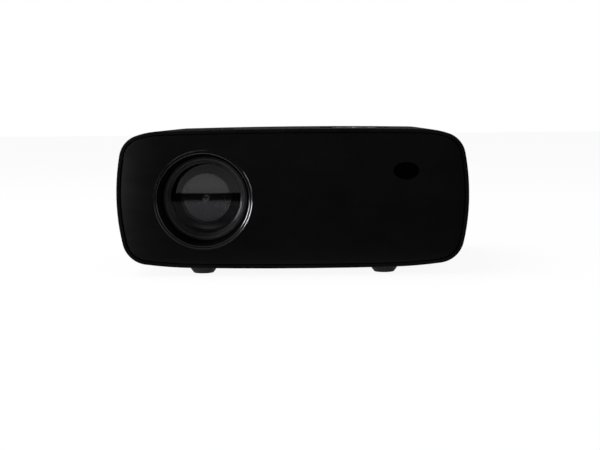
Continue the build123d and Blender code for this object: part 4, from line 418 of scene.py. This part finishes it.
plain_glass, coated_glass = 1.5, 1.2
# The front glass's grey tint is painted shade over the lens's dark inside.
front = clear_glass("front_coating", (0.40, 0.40, 0.43), plain_glass)
tree = front.node_tree
mirror_coat(front, spread(tree, from_lens_axis(tree), 1.0, 0.0, 0.0198, 0.0202), 1.6)
dress(front, "front_lens")
middle = clear_glass("middle_coating", (0.9, 0.92, 0.95), coated_glass)
tree = middle.node_tree
blackened = spread(tree, from_lens_axis(tree), 0.0, 1.0, 0.0178, 0.0180)
part_of(middle, blackened, (0.0, 0.0, 0.0), 0.6)
mirror_coat(middle, calc(tree, "SUBTRACT", 1.0, blackened), 3.2)
dress(middle, "middle_lens")
dress(clear_glass("rear_coating", (0.9, 0.92, 0.95), coated_glass), "rear_lens")

# ---------------------------------------------------------------- focus and keystone rings
# Two moulded rings turn on the fixed tube, knurled all round for a finger in the roof's well.
# A clip of blackened spring steel holds them, and turned pins ride in the focus ring's slots.
dress(plastic("ring_black", (0.005, 0.005, 0.0055), (0.009, 0.009, 0.0095), (0.45, 0.6),
              pit=0.0004, depth=0.00004, gloss=0.2, worn=0.9), "focus_ring", "keystone_ring")
dress(plastic("slider_nylon", (0.02, 0.02, 0.02), (0.03, 0.03, 0.03), (0.3, 0.42),
              pit=0.0009, depth=0.00001, gloss=0.4), "keystone_slider")


def metal(name, dark, light, rough=(0.25, 0.4), grain_way=(1.0, 1.0, 1.0), grain_size=0.0004,
          depth=0.000004, worn=0.5):
    """Bare or plated metal: fine noise drawn out along one way, brighter where edges are rubbed."""
    made, tree, shader = blank(name)
    drawn = put(tree, "Mapping", Vector=spot(tree), Scale=grain_way)
    fibre = put(tree, "TexNoise", Vector=drawn.outputs[0], Scale=1.0 / grain_size, Detail=3.0)
    grain = use(tree, mould_grain)
    edge = use(tree, worn_edges, Amount=worn)["Mask"]
    mottled = calc(tree, "MULTIPLY_ADD", grain["Smear"], 0.6, calc(tree, "MULTIPLY", fibre.outputs[0], 0.4))
    tone = tint(tree, spread(tree, mottled, 0.0, 1.0), dark, light)
    tree.links.new(tint(tree, edge, tone, [min(1.0, 1.25 * c) for c in light]), shader.inputs["Base Color"])
    tree.links.new(spread(tree, mottled, *rough), shader.inputs["Roughness"])
    scored = put(tree, "Bump", Height=fibre.outputs[0], Distance=depth)
    tree.links.new(scored.outputs[0], shader.inputs["Normal"])
    shader.inputs["Metallic"].default_value = 1.0
    return made


dress(metal("blued_spring_steel", (0.02, 0.021, 0.024), (0.045, 0.046, 0.05), (0.3, 0.45)), "ring_clip")
dress(metal("turned_steel", (0.45, 0.45, 0.44), (0.56, 0.56, 0.55), (0.2, 0.32), (1.0, 8.0, 8.0)),
      "focus_pins")

# ---------------------------------------------------------------- light engine
# The lamp's light runs from the condenser through heat glass and field lenses to the image
# panel, inside a moulded tunnel. A cast flange carries the lens on the tunnel's front.
dress(plastic("engine_black", (0.010, 0.010, 0.010), (0.016, 0.016, 0.017), (0.5, 0.65),
              pit=0.0006, depth=0.00005), "light_tunnel", "lcd_frame")
dress(metal("cast_flange", (0.28, 0.28, 0.29), (0.38, 0.38, 0.39), (0.42, 0.58), grain_size=0.0008,
            depth=0.00004), "lens_flange")
dress(clear_glass("condenser_glass", (0.9, 0.93, 0.93), plain_glass), "condenser_lens")
dress(clear_glass("heat_glass_green", (0.80, 0.90, 0.86), plain_glass), "heat_glass")

# The field lenses are pressed acrylic with a groove every 0.5 mm round the axis.
field_lens, tree, shader = turned("grooved_acrylic", (0.86, 0.88, 0.88), (0.92, 0.93, 0.93),
                                  (0.05, 0.12), gloss=0.4, feed=0.0005, depth=0.00006)
shader.inputs["Transmission Weight"].default_value = 1.0
shader.inputs["IOR"].default_value = 1.49
dress(field_lens, "fresnel_lenses")

# The image panel is glass over a fine black matrix, with a black printed border round the picture.
picture, tree, shader = blank("image_panel_glass")
here = put(tree, "Mapping", Vector=spot(tree), Location=(-lens_x, 0.0, -lens_z))
parts = put(tree, "SeparateXYZ", Vector=here.outputs[0])
panel_low, panel_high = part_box("lcd_panel")
border = 0.0045
past_side = calc(tree, "GREATER_THAN", calc(tree, "ABSOLUTE", parts.outputs["X"]),
                 (panel_high.x - panel_low.x) / 2 - border)
middle_z = (panel_low.z + panel_high.z) / 2 - lens_z
from_middle = calc(tree, "ABSOLUTE", calc(tree, "SUBTRACT", parts.outputs["Z"], middle_z))
past_top = calc(tree, "GREATER_THAN", from_middle, (panel_high.z - panel_low.z) / 2 - border)
printed = calc(tree, "MAXIMUM", past_side, past_top)
matrix = put(tree, "TexBrick", Vector=here.outputs[0], Scale=900.0, Color1=(0.006, 0.006, 0.008, 1.0),
             Color2=(0.01, 0.01, 0.013, 1.0), Mortar=(0.002, 0.002, 0.002, 1.0))
tree.links.new(tint(tree, printed, matrix.outputs[0], (0.0015, 0.0015, 0.0015)), shader.inputs["Base Color"])
tree.links.new(calc(tree, "MULTIPLY_ADD", printed, 0.25, 0.18), shader.inputs["Roughness"])
shader.inputs["Specular IOR Level"].default_value = 0.2
grain = use(tree, mould_grain, Pit_size=0.003)
rippled = put(tree, "Bump", Height=grain["Height"], Distance=0.000003)
tree.links.new(rippled.outputs[0], shader.inputs["Normal"])
dress(picture, "lcd_panel")

# ---------------------------------------------------------------- lamp and cooling
# The lamp is a square of yellow phosphor under clear silicone on a white-printed aluminium board,
# screwed to an extruded heat sink. Behind it a moulded fan blows through the back panel.
lamp_board, tree, shader = turned("lamp_board_white", (0.66, 0.66, 0.64), (0.72, 0.72, 0.70),
                                  (0.35, 0.5), gloss=0.4)
chips_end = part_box("led_board")[0].y + 0.0011
over_chips = calc(tree, "LESS_THAN", parted(tree)["Y"], chips_end)
chips = put(tree, "TexVoronoi", {"distance": "CHEBYCHEV"}, Vector=spot(tree), Scale=700.0, Randomness=0.0)
phosphor = tint(tree, spread(tree, chips.outputs["Distance"], 0.0, 1.0, 0.3, 0.5), (0.80, 0.62, 0.08),
                (0.62, 0.46, 0.05))
printed = shader.inputs["Base Color"].links[0].from_socket
tree.links.new(tint(tree, over_chips, printed, phosphor), shader.inputs["Base Color"])
tree.links.new(calc(tree, "MULTIPLY_ADD", over_chips, -0.25, 0.42), shader.inputs["Roughness"])
dress(lamp_board, "led_board")
dress(metal("extruded_aluminium", (0.42, 0.42, 0.43), (0.55, 0.55, 0.56), (0.32, 0.46), (14.0, 14.0, 0.6),
            grain_size=0.004, depth=0.00002), "heat_sink")
dress(plastic("fan_black", (0.009, 0.009, 0.0095), (0.014, 0.014, 0.0145), (0.38, 0.5), gloss=0.35),
      "fan_frame")
dress(plastic("rotor_black", (0.012, 0.012, 0.0125), (0.018, 0.018, 0.0185), (0.22, 0.32),
              pit=0.0009, depth=0.000012, gloss=0.5), "fan_rotor")

# ---------------------------------------------------------------- disc drive
# Chassis and lid are folded from galvanised sheet, whose zinc shows as pale and dark grains. The
# tray and its two rails are black ABS, and slide out under the lid.
zinc, tree, shader = blank("galvanised_sheet")
grains = put(tree, "TexVoronoi", Vector=spot(tree), Scale=260.0, Randomness=1.0)
shade = put(tree, "SeparateColor", Color=grains.outputs["Color"]).outputs[0]
smear = use(tree, mould_grain)["Smear"]
mottle = calc(tree, "MULTIPLY_ADD", shade, 0.6, calc(tree, "MULTIPLY", smear, 0.4))
rubbed = use(tree, worn_edges, Amount=0.7)["Mask"]
zinc_tone = tint(tree, mottle, (0.40, 0.41, 0.42), (0.60, 0.61, 0.62))
tree.links.new(tint(tree, rubbed, zinc_tone, (0.72, 0.72, 0.72)), shader.inputs["Base Color"])
tree.links.new(spread(tree, mottle, 0.28, 0.48, 0.0, 1.0), shader.inputs["Roughness"])
raised = put(tree, "Bump", Height=mottle, Distance=0.000006)
tree.links.new(raised.outputs[0], shader.inputs["Normal"])
shader.inputs["Metallic"].default_value = 1.0
dress(zinc, "drive_chassis", "drive_lid")
dress(plastic("tray_black", (0.010, 0.010, 0.0105), (0.016, 0.016, 0.0165), (0.34, 0.46),
              pit=0.0004, gloss=0.35), "disc_tray")
dress(plastic("rail_black", (0.014, 0.014, 0.014), (0.02, 0.02, 0.02), (0.28, 0.4),
              pit=0.0008, depth=0.00001, gloss=0.45), "drive_rails")

# ---------------------------------------------------------------- tray front
# A narrow strip of the shells' own black closes the slot in the right side, flush with it. The
# eject button is set in it and carries the usual printed triangle over a bar.
dress(plastic("bezel_black", (0.0035, 0.0035, 0.0038), (0.0052, 0.0052, 0.0056), (0.36, 0.46), gloss=0.15,
              depth=0.00002), "tray_bezel")
dress(plastic("button_black", (0.006, 0.006, 0.0065), (0.009, 0.009, 0.0095), (0.22, 0.32),
              pit=0.0007, depth=0.00001, gloss=0.4), "eject_button")

print_white = plastic("print_white", (0.55, 0.55, 0.54), (0.62, 0.62, 0.61), (0.5, 0.6),
                      pit=0.0002, depth=0.000004, worn=0.0)


def rounded_outline(corners, radius, steps=5):
    """Outline of a polygon whose corners become arcs: each is an arc of the radius that touches
    both of its sides, in steps pieces. Corners go anticlockwise."""
    corners = np.array(corners, dtype=float)
    back = np.roll(corners, 1, 0) - corners
    ahead = np.roll(corners, -1, 0) - corners
    back, ahead = (v / np.linalg.norm(v, axis=1, keepdims=True) for v in (back, ahead))
    half = np.arccos(np.clip((back * ahead).sum(1), -1, 1)) / 2
    inwards = (back + ahead) / np.linalg.norm(back + ahead, axis=1, keepdims=True)
    centres = corners + inwards * (radius / np.sin(half))[:, None]
    share = np.linspace(-1, 1, steps + 1)
    facing = np.arctan2(-inwards[:, 1], -inwards[:, 0])
    angles = facing[:, None] + share[None] * (pi / 2 - half)[:, None]
    arcs = centres[:, None] + radius * np.stack([np.cos(angles), np.sin(angles)], -1)
    return arcs.reshape(-1, 2)


def printed_mark(name, outline, at, body, over):
    """A printed mark: the outline carried up from just under the face at height over. At is a
    function that puts a flat outline and a height on the piece."""
    half_thick = 0.00006
    rings = np.stack([at(outline, over - half_thick), at(outline, over + half_thick)])
    made = surface(name, rings, around=True, smooth=False)
    mesh = made.data
    count = len(outline)
    faces = [tuple(face.vertices) for face in mesh.polygons]
    faces += [tuple(range(count))[::-1], tuple(range(count, 2 * count))]
    points = [tuple(vertex.co) for vertex in mesh.vertices]
    mesh.clear_geometry()
    mesh.from_pydata(points, [], faces)
    mesh.update()
    mesh.materials.append(print_white)
    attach(made, body)


def arc_outline(radius, width, start, end, steps=28):
    """Outline of a bent bar: out along the arc at radius plus half a width, back along the other."""
    out = np.radians(np.linspace(start, end, steps))
    both = [(radius + width / 2, out), (radius - width / 2, out[::-1])]
    return np.concatenate([np.stack([r * np.cos(a), r * np.sin(a)], -1) for r, a in both])


def bar_outline(x, y, width, height):
    """Outline of an upright rectangle about a point."""
    across, up = width / 2, height / 2
    return np.array([(x - across, y - up), (x + across, y - up), (x + across, y + up), (x - across, y + up)])


eject_low, eject_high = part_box("eject_button")
eject_y, eject_z = (eject_low.y + eject_high.y) / 2, (eject_low.z + eject_high.z) / 2


def on_eject(outline, height):
    """Turns a flat outline on to the button's front, which faces the right."""
    return np.stack([0 * outline[:, 0] + height, eject_y + outline[:, 0], eject_z + outline[:, 1]], -1)


eject_face = eject_high.x - 0.00008
eject_arrow = rounded_outline([(-0.0011, -0.0001), (0.0011, -0.0001), (0.0, 0.0009)], 0.00008)
eject_bar = bar_outline(0.0, -0.0006, 0.0022, 0.0004)
printed_mark("eject_arrow", eject_arrow, on_eject, "eject_button", eject_face)
printed_mark("eject_bar", eject_bar, on_eject, "eject_button", eject_face)

# ---------------------------------------------------------------- disc mechanism
# The traverse is stamped steel. Two ground rods carry the pickup, a spiral-grooved screw drives
# it, and its lens stands on top. The turntable has a rubber ring and a pale hub.
dress(metal("stamped_steel", (0.36, 0.36, 0.37), (0.48, 0.48, 0.49), (0.3, 0.45), (0.7, 9.0, 9.0)),
      "traverse_frame")
dress(metal("ground_steel", (0.55, 0.55, 0.54), (0.66, 0.66, 0.65), (0.1, 0.2), (16.0, 1.0, 1.0),
            grain_size=0.0005), "guide_rods")

screw_low, screw_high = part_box("lead_screw")
screw_y, screw_z = (screw_low.y + screw_high.y) / 2, (screw_low.z + screw_high.z) / 2
spiral, tree, shader = blank("spiral_steel")
here = put(tree, "Mapping", Vector=spot(tree), Location=(0.0, -screw_y, -screw_z))
parts = put(tree, "SeparateXYZ", Vector=here.outputs[0])
angle = calc(tree, "ARCTAN2", parts.outputs["Z"], parts.outputs["Y"])
pitch = 0.003
turn = calc(tree, "MULTIPLY_ADD", parts.outputs["X"], 1.0 / pitch, calc(tree, "DIVIDE", angle, tau))
groove = calc(tree, "PINGPONG", turn, 0.5)
sides = calc(tree, "SMOOTH_MIN", calc(tree, "MULTIPLY", groove, 4.0), 1.0, 0.2)
tree.links.new(tint(tree, sides, (0.12, 0.12, 0.12), (0.55, 0.55, 0.54)), shader.inputs["Base Color"])
tree.links.new(spread(tree, sides, 0.4, 0.18, 0.0, 1.0), shader.inputs["Roughness"])
cut = put(tree, "Bump", Height=sides, Distance=0.0003)
tree.links.new(cut.outputs[0], shader.inputs["Normal"])
shader.inputs["Metallic"].default_value = 1.0
dress(spiral, "lead_screw")


def height_above(tree, level):
    """One above a level, nought below it."""
    return calc(tree, "GREATER_THAN", parted(tree)["Z"], level)


sled = plastic("pickup_black", (0.012, 0.012, 0.012), (0.02, 0.02, 0.02), (0.35, 0.5),
               pit=0.0004, depth=0.00002, gloss=0.4)
lens_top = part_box("pickup_sled")[1].z
part_of(sled, height_above(sled.node_tree, lens_top - 0.0001), (0.05, 0.04, 0.09), 0.04)
dress(sled, "pickup_sled")

hub_low, hub_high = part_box("spindle_hub")
disc_x, disc_y = (hub_low.x + hub_high.x) / 2, (hub_low.y + hub_high.y) / 2
hub = plastic("hub_grey", (0.16, 0.16, 0.16), (0.2, 0.2, 0.2), (0.32, 0.42),
              pit=0.0006, depth=0.00001, gloss=0.4, worn=0.5)
rubber_from = 0.0095
out = from_axis(hub.node_tree, (disc_x, disc_y, 0.0), (1.0, 1.0, 0.0))
part_of(hub, calc(hub.node_tree, "GREATER_THAN", out, rubber_from), (0.012, 0.012, 0.012), 0.75)
dress(hub, "spindle_hub")

# ---------------------------------------------------------------- circuit boards
# Glass-fibre boards with green solder resist, whose copper tracks show through it. The parts on
# them are black chips, dark coils, pale headers, sleeved capacitors and folded aluminium.
board_colours = {
    "chip_black": ((0.014, 0.014, 0.015), 0.5), "coil": ((0.035, 0.03, 0.03), 0.6),
    "header": ((0.62, 0.60, 0.54), 0.5), "fin": ((0.42, 0.43, 0.45), 0.35),
    "can": ((0.02, 0.022, 0.045), 0.35), "tape": ((0.60, 0.42, 0.04), 0.45),
    "core": ((0.03, 0.028, 0.028), 0.6), "copper": ((0.40, 0.16, 0.06), 0.3),
    "can_end": ((0.55, 0.55, 0.55), 0.3)}
board_thickness = 0.0016
skin = 0.0002  # a part's colour starts this far above the board or the part below it


def circuit_board(name, top, base=(0.010, 0.075, 0.028), track=(0.022, 0.125, 0.05)):
    """Solder resist over tracks: long thin noise both ways, cut to hard lines, slightly raised."""
    made, tree, shader = blank(name)
    lines = []
    for scale in ((1.0, 0.12, 1.0), (0.12, 1.0, 1.0)):
        drawn = put(tree, "Mapping", Vector=spot(tree), Scale=scale)
        runs = put(tree, "TexNoise", Vector=drawn.outputs[0], Scale=420.0, Detail=1.0)
        lines.append(spread(tree, runs.outputs[0], 0.0, 1.0, 0.56, 0.58))
    tracks = calc(tree, "MAXIMUM", *lines)
    grain = use(tree, mould_grain)
    tree.links.new(tint(tree, tracks, base, track), shader.inputs["Base Color"])
    tree.links.new(spread(tree, grain["Smear"], 0.22, 0.34), shader.inputs["Roughness"])
    raised = put(tree, "Bump", Height=tracks, Distance=0.00003)
    tree.links.new(raised.outputs[0], shader.inputs["Normal"])
    part_of(made, height_above(tree, top + skin), *board_colours["chip_black"])
    return made


def paint_parts(finish, low, high, board_top, parts):
    """Colours a board's parts: kind, middle as shares of the board, width, length, start height."""
    tree = finish.node_tree
    here = parted(tree)
    for kind, across, along_board, width, length, start in parts:
        x = low.x + across * (high.x - low.x)
        y = low.y + along_board * (high.y - low.y)
        beside = calc(tree, "COMPARE", here["X"], x, width / 2)
        before = calc(tree, "COMPARE", here["Y"], y, length / 2)
        over = calc(tree, "GREATER_THAN", here["Z"], board_top + start)
        inside = calc(tree, "MULTIPLY", calc(tree, "MULTIPLY", beside, before), over)
        part_of(finish, inside, *board_colours[kind])


board_low, board_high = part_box("mainboard")
board_top = board_low.z + board_thickness
main_finish = circuit_board("board_green_main", board_top)
paint_parts(main_finish, board_low, board_high, board_top, (
    ("fin", 0.533, 0.408, 0.0284, 0.0284, 0.0031),
    ("coil", 0.178, 0.602, 0.0092, 0.0092, skin), ("coil", 0.667, 0.68, 0.0092, 0.0092, skin),
    ("coil", 0.533, 0.816, 0.0092, 0.0092, skin), ("header", 0.333, 0.049, 0.0222, 0.0052, skin),
    ("header", 0.689, 0.049, 0.0162, 0.0052, skin), ("can", 0.333, 0.641, 0.0082, 0.0082, skin),
    ("can", 0.844, 0.505, 0.0082, 0.0082, skin), ("can", 0.844, 0.621, 0.0082, 0.0082, skin),
    ("can_end", 0.333, 0.641, 0.0070, 0.0070, 0.01095), ("can_end", 0.844, 0.505, 0.0070, 0.0070, 0.01095),
    ("can_end", 0.844, 0.621, 0.0070, 0.0070, 0.01095)))
dress(main_finish, "mainboard")
board_low, board_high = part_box("power_board")
power_finish = circuit_board("board_green_power", board_top, (0.09, 0.06, 0.02), (0.13, 0.085, 0.03))
paint_parts(power_finish, board_low, board_high, board_top, (
    ("core", 0.528, 0.548, 0.0342, 0.0182, skin), ("tape", 0.528, 0.548, 0.0302, 0.0262, 0.0171),
    ("copper", 0.528, 0.167, 0.0202, 0.0162, skin), ("fin", 0.358, 0.786, 0.0222, 0.0032, skin),
    ("fin", 0.774, 0.5, 0.0032, 0.0262, skin), ("header", 0.792, 0.095, 0.0202, 0.0082, skin),
    ("can", 0.208, 0.619, 0.0182, 0.0182, skin), ("can", 0.755, 0.786, 0.0102, 0.0102, skin),
    ("can", 0.868, 0.786, 0.0102, 0.0102, skin), ("can_end", 0.208, 0.619, 0.0160, 0.0160, 0.02595)))
dress(power_finish, "power_board")
key_board_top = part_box("control_board")[0].z + board_thickness
dress(circuit_board("board_green_keys", key_board_top), "control_board")

# ---------------------------------------------------------------- back panel and sockets
# The back panel is grained like the shells. Its sockets stand on the main board: nickel-plated
# shells with black tongues, two round sound sockets, and a moulded mains inlet with two pins.
dress(plastic("back_black", (0.0040, 0.0040, 0.0044), (0.0060, 0.0060, 0.0066), (0.4, 0.52), gloss=0.15),
      "rear_panel")
tongue_half_width, usb_tongue_drop = 0.0057, 0.0021
for name, half_high in (("hdmi_port", 0.0006), ("usb_port", 0.001)):
    low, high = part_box(name)
    shell_finish = metal("nickel_" + name, (0.46, 0.45, 0.43), (0.58, 0.57, 0.55), (0.16, 0.28))
    tree = shell_finish.node_tree
    here = parted(tree)
    middle_z = (low.z + high.z) / 2 if name == "hdmi_port" else high.z - usb_tongue_drop
    beside = calc(tree, "COMPARE", here["X"], (low.x + high.x) / 2, tongue_half_width)
    level = calc(tree, "COMPARE", here["Z"], middle_z, half_high)
    tongue = calc(tree, "MULTIPLY", beside, level)
    part_of(shell_finish, tongue, (0.012, 0.012, 0.012), 0.4)
    tree.links.new(calc(tree, "SUBTRACT", 1.0, tongue), shader_of(shell_finish).inputs["Metallic"])
    dress(shell_finish, name)


def plated(finish, places, z, radius, colour, rough):
    """Makes a plastic finish bright metal within a radius of two axes along Y."""
    tree = finish.node_tree
    nearest = calc(tree, "MINIMUM", *[from_axis(tree, (x, 0.0, z)) for x in places])
    mask = calc(tree, "LESS_THAN", nearest, radius)
    part_of(finish, mask, colour, rough)
    tree.links.new(mask, shader_of(finish).inputs["Metallic"])


jack_low, jack_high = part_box("audio_jacks")
jack_half_width, jack_above_board = 0.0045, 0.0038
jack_finish = plastic("jack_black", (0.010, 0.010, 0.010), (0.015, 0.015, 0.015), (0.3, 0.4),
                      pit=0.0006, depth=0.00001, gloss=0.4)
plated(jack_finish, (jack_low.x + jack_half_width, jack_high.x - jack_half_width),
       jack_low.z + jack_above_board, 0.0023, (0.55, 0.54, 0.52), 0.22)
dress(jack_finish, "audio_jacks")

inlet_low, inlet_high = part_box("power_inlet")
inlet_x, inlet_z = (inlet_low.x + inlet_high.x) / 2, (inlet_low.z + inlet_high.z) / 2
pin_from_middle = 0.0043
inlet_finish = plastic("inlet_black", (0.008, 0.008, 0.008), (0.012, 0.012, 0.012), (0.28, 0.4),
                       pit=0.0008, depth=0.00001, gloss=0.4)
plated(inlet_finish, (inlet_x - pin_from_middle, inlet_x + pin_from_middle), inlet_z, 0.0013,
       (0.56, 0.54, 0.50), 0.2)
dress(inlet_finish, "power_inlet")

# ---------------------------------------------------------------- loudspeaker
# A 32 mm loudspeaker behind the side slots: steel basket, foam ring and a cone of pressed grey
# paper, whose fibres show.
low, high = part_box("speaker")
speaker_middle = (0.0, (low.y + high.y) / 2, (low.z + high.z) / 2)
cone_radius, cone_depth = 0.0142, 0.0062
speaker_finish = metal("speaker_steel", (0.30, 0.30, 0.31), (0.40, 0.40, 0.41), (0.35, 0.5))
tree = speaker_finish.node_tree
out = from_axis(tree, speaker_middle, (0.0, 1.0, 1.0))
forward = calc(tree, "GREATER_THAN", parted(tree)["X"], high.x - cone_depth)
paper = calc(tree, "MULTIPLY", forward, calc(tree, "LESS_THAN", out, cone_radius))
fibres = put(tree, "TexNoise", Vector=spot(tree), Scale=2600.0, Detail=4.0)
part_of(speaker_finish, paper, tint(tree, fibres.outputs[0], (0.03, 0.03, 0.03), (0.07, 0.068, 0.066)), 0.9)
tree.links.new(calc(tree, "SUBTRACT", 1.0, paper), shader_of(speaker_finish).inputs["Metallic"])
dress(speaker_finish, "speaker")

# ---------------------------------------------------------------- key deck
# Four arrow keys round a select key, and power and menu keys before them, moulded in satin
# black. Their signs are printed in pale ink, to be read from behind, where the user stands.
dress(plastic("key_black", (0.005, 0.005, 0.0055), (0.008, 0.008, 0.0085), (0.26, 0.36),
              pit=0.0006, depth=0.00001, gloss=0.35, worn=0.8),
      "up_key", "down_key", "left_key", "right_key", "ok_key", "power_key", "menu_key")


def on_key(name):
    """The height of a key's face, and a function that puts an outline on it to be read from behind."""
    low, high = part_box(name)
    x, y = (low.x + high.x) / 2, (low.y + high.y) / 2

    def at(outline, height):
        return np.stack([x - outline[:, 0], y - outline[:, 1], 0 * outline[:, 0] + height], -1)

    return at, high.z


tip_reach, foot_reach = 0.0022, 0.0019
for name, quarter in (("right", 0), ("up", 1), ("left", 2), ("down", 3)):
    at, top = on_key(name + "_key")
    tips = [(radians(90 * quarter + 120 * i), foot_reach if i else tip_reach) for i in range(3)]
    corners = [(r * cos(a), r * sin(a)) for a, r in tips]
    printed_mark(name + "_arrow", rounded_outline(corners, 0.0003), at, name + "_key", top)

at, top = on_key("ok_key")
dot = arc_outline(0.0011, 0.0022, 0, 359.99, 33)[:32]  # the outer arc alone, all the way round
printed_mark("ok_dot", dot, at, "ok_key", top)
at, top = on_key("power_key")
printed_mark("power_arc", arc_outline(0.0021, 0.00055, 125, 415), at, "power_key", top)
printed_mark("power_bar", bar_outline(0.0, 0.0019, 0.00055, 0.0022), at, "power_key", top)
at, top = on_key("menu_key")
bar_pitch = 0.0014
for i in range(3):
    outline = bar_outline(0.0, bar_pitch * (i - 1), 0.0042, 0.0006)
    printed_mark("menu_bar_%d" % (i + 1), outline, at, "menu_key", top)

# ---------------------------------------------------------------- feet, tripod bush and screws
# The feet are rubber, moulded with a fine grain that holds dust. The bush is turned brass, the
# case screws are black oxide steel and the inner ones zinc-plated, with black heads at the back.
dress(plastic("rubber_black", (0.010, 0.010, 0.010), (0.018, 0.018, 0.018), (0.7, 0.85),
              pit=0.0003, depth=0.00004, gloss=0.2, worn=0.4), "rubber_feet")
dress(metal("turned_brass", (0.52, 0.36, 0.12), (0.64, 0.46, 0.18), (0.22, 0.36), (1.0, 1.0, 10.0)),
      "tripod_insert")
dress(metal("black_oxide", (0.02, 0.02, 0.022), (0.035, 0.035, 0.037), (0.3, 0.45), worn=1.0), "case_screws")
inner_steel = metal("zinc_plate", (0.46, 0.47, 0.49), (0.58, 0.59, 0.61), (0.2, 0.34))
back_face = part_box("rear_panel")[1].y
tree = inner_steel.node_tree
outside = along(tree, spot(tree), "Y", back_face - 0.0002, back_face)
part_of(inner_steel, outside, (0.03, 0.03, 0.032), 0.4)
dress(inner_steel, "inner_screws")
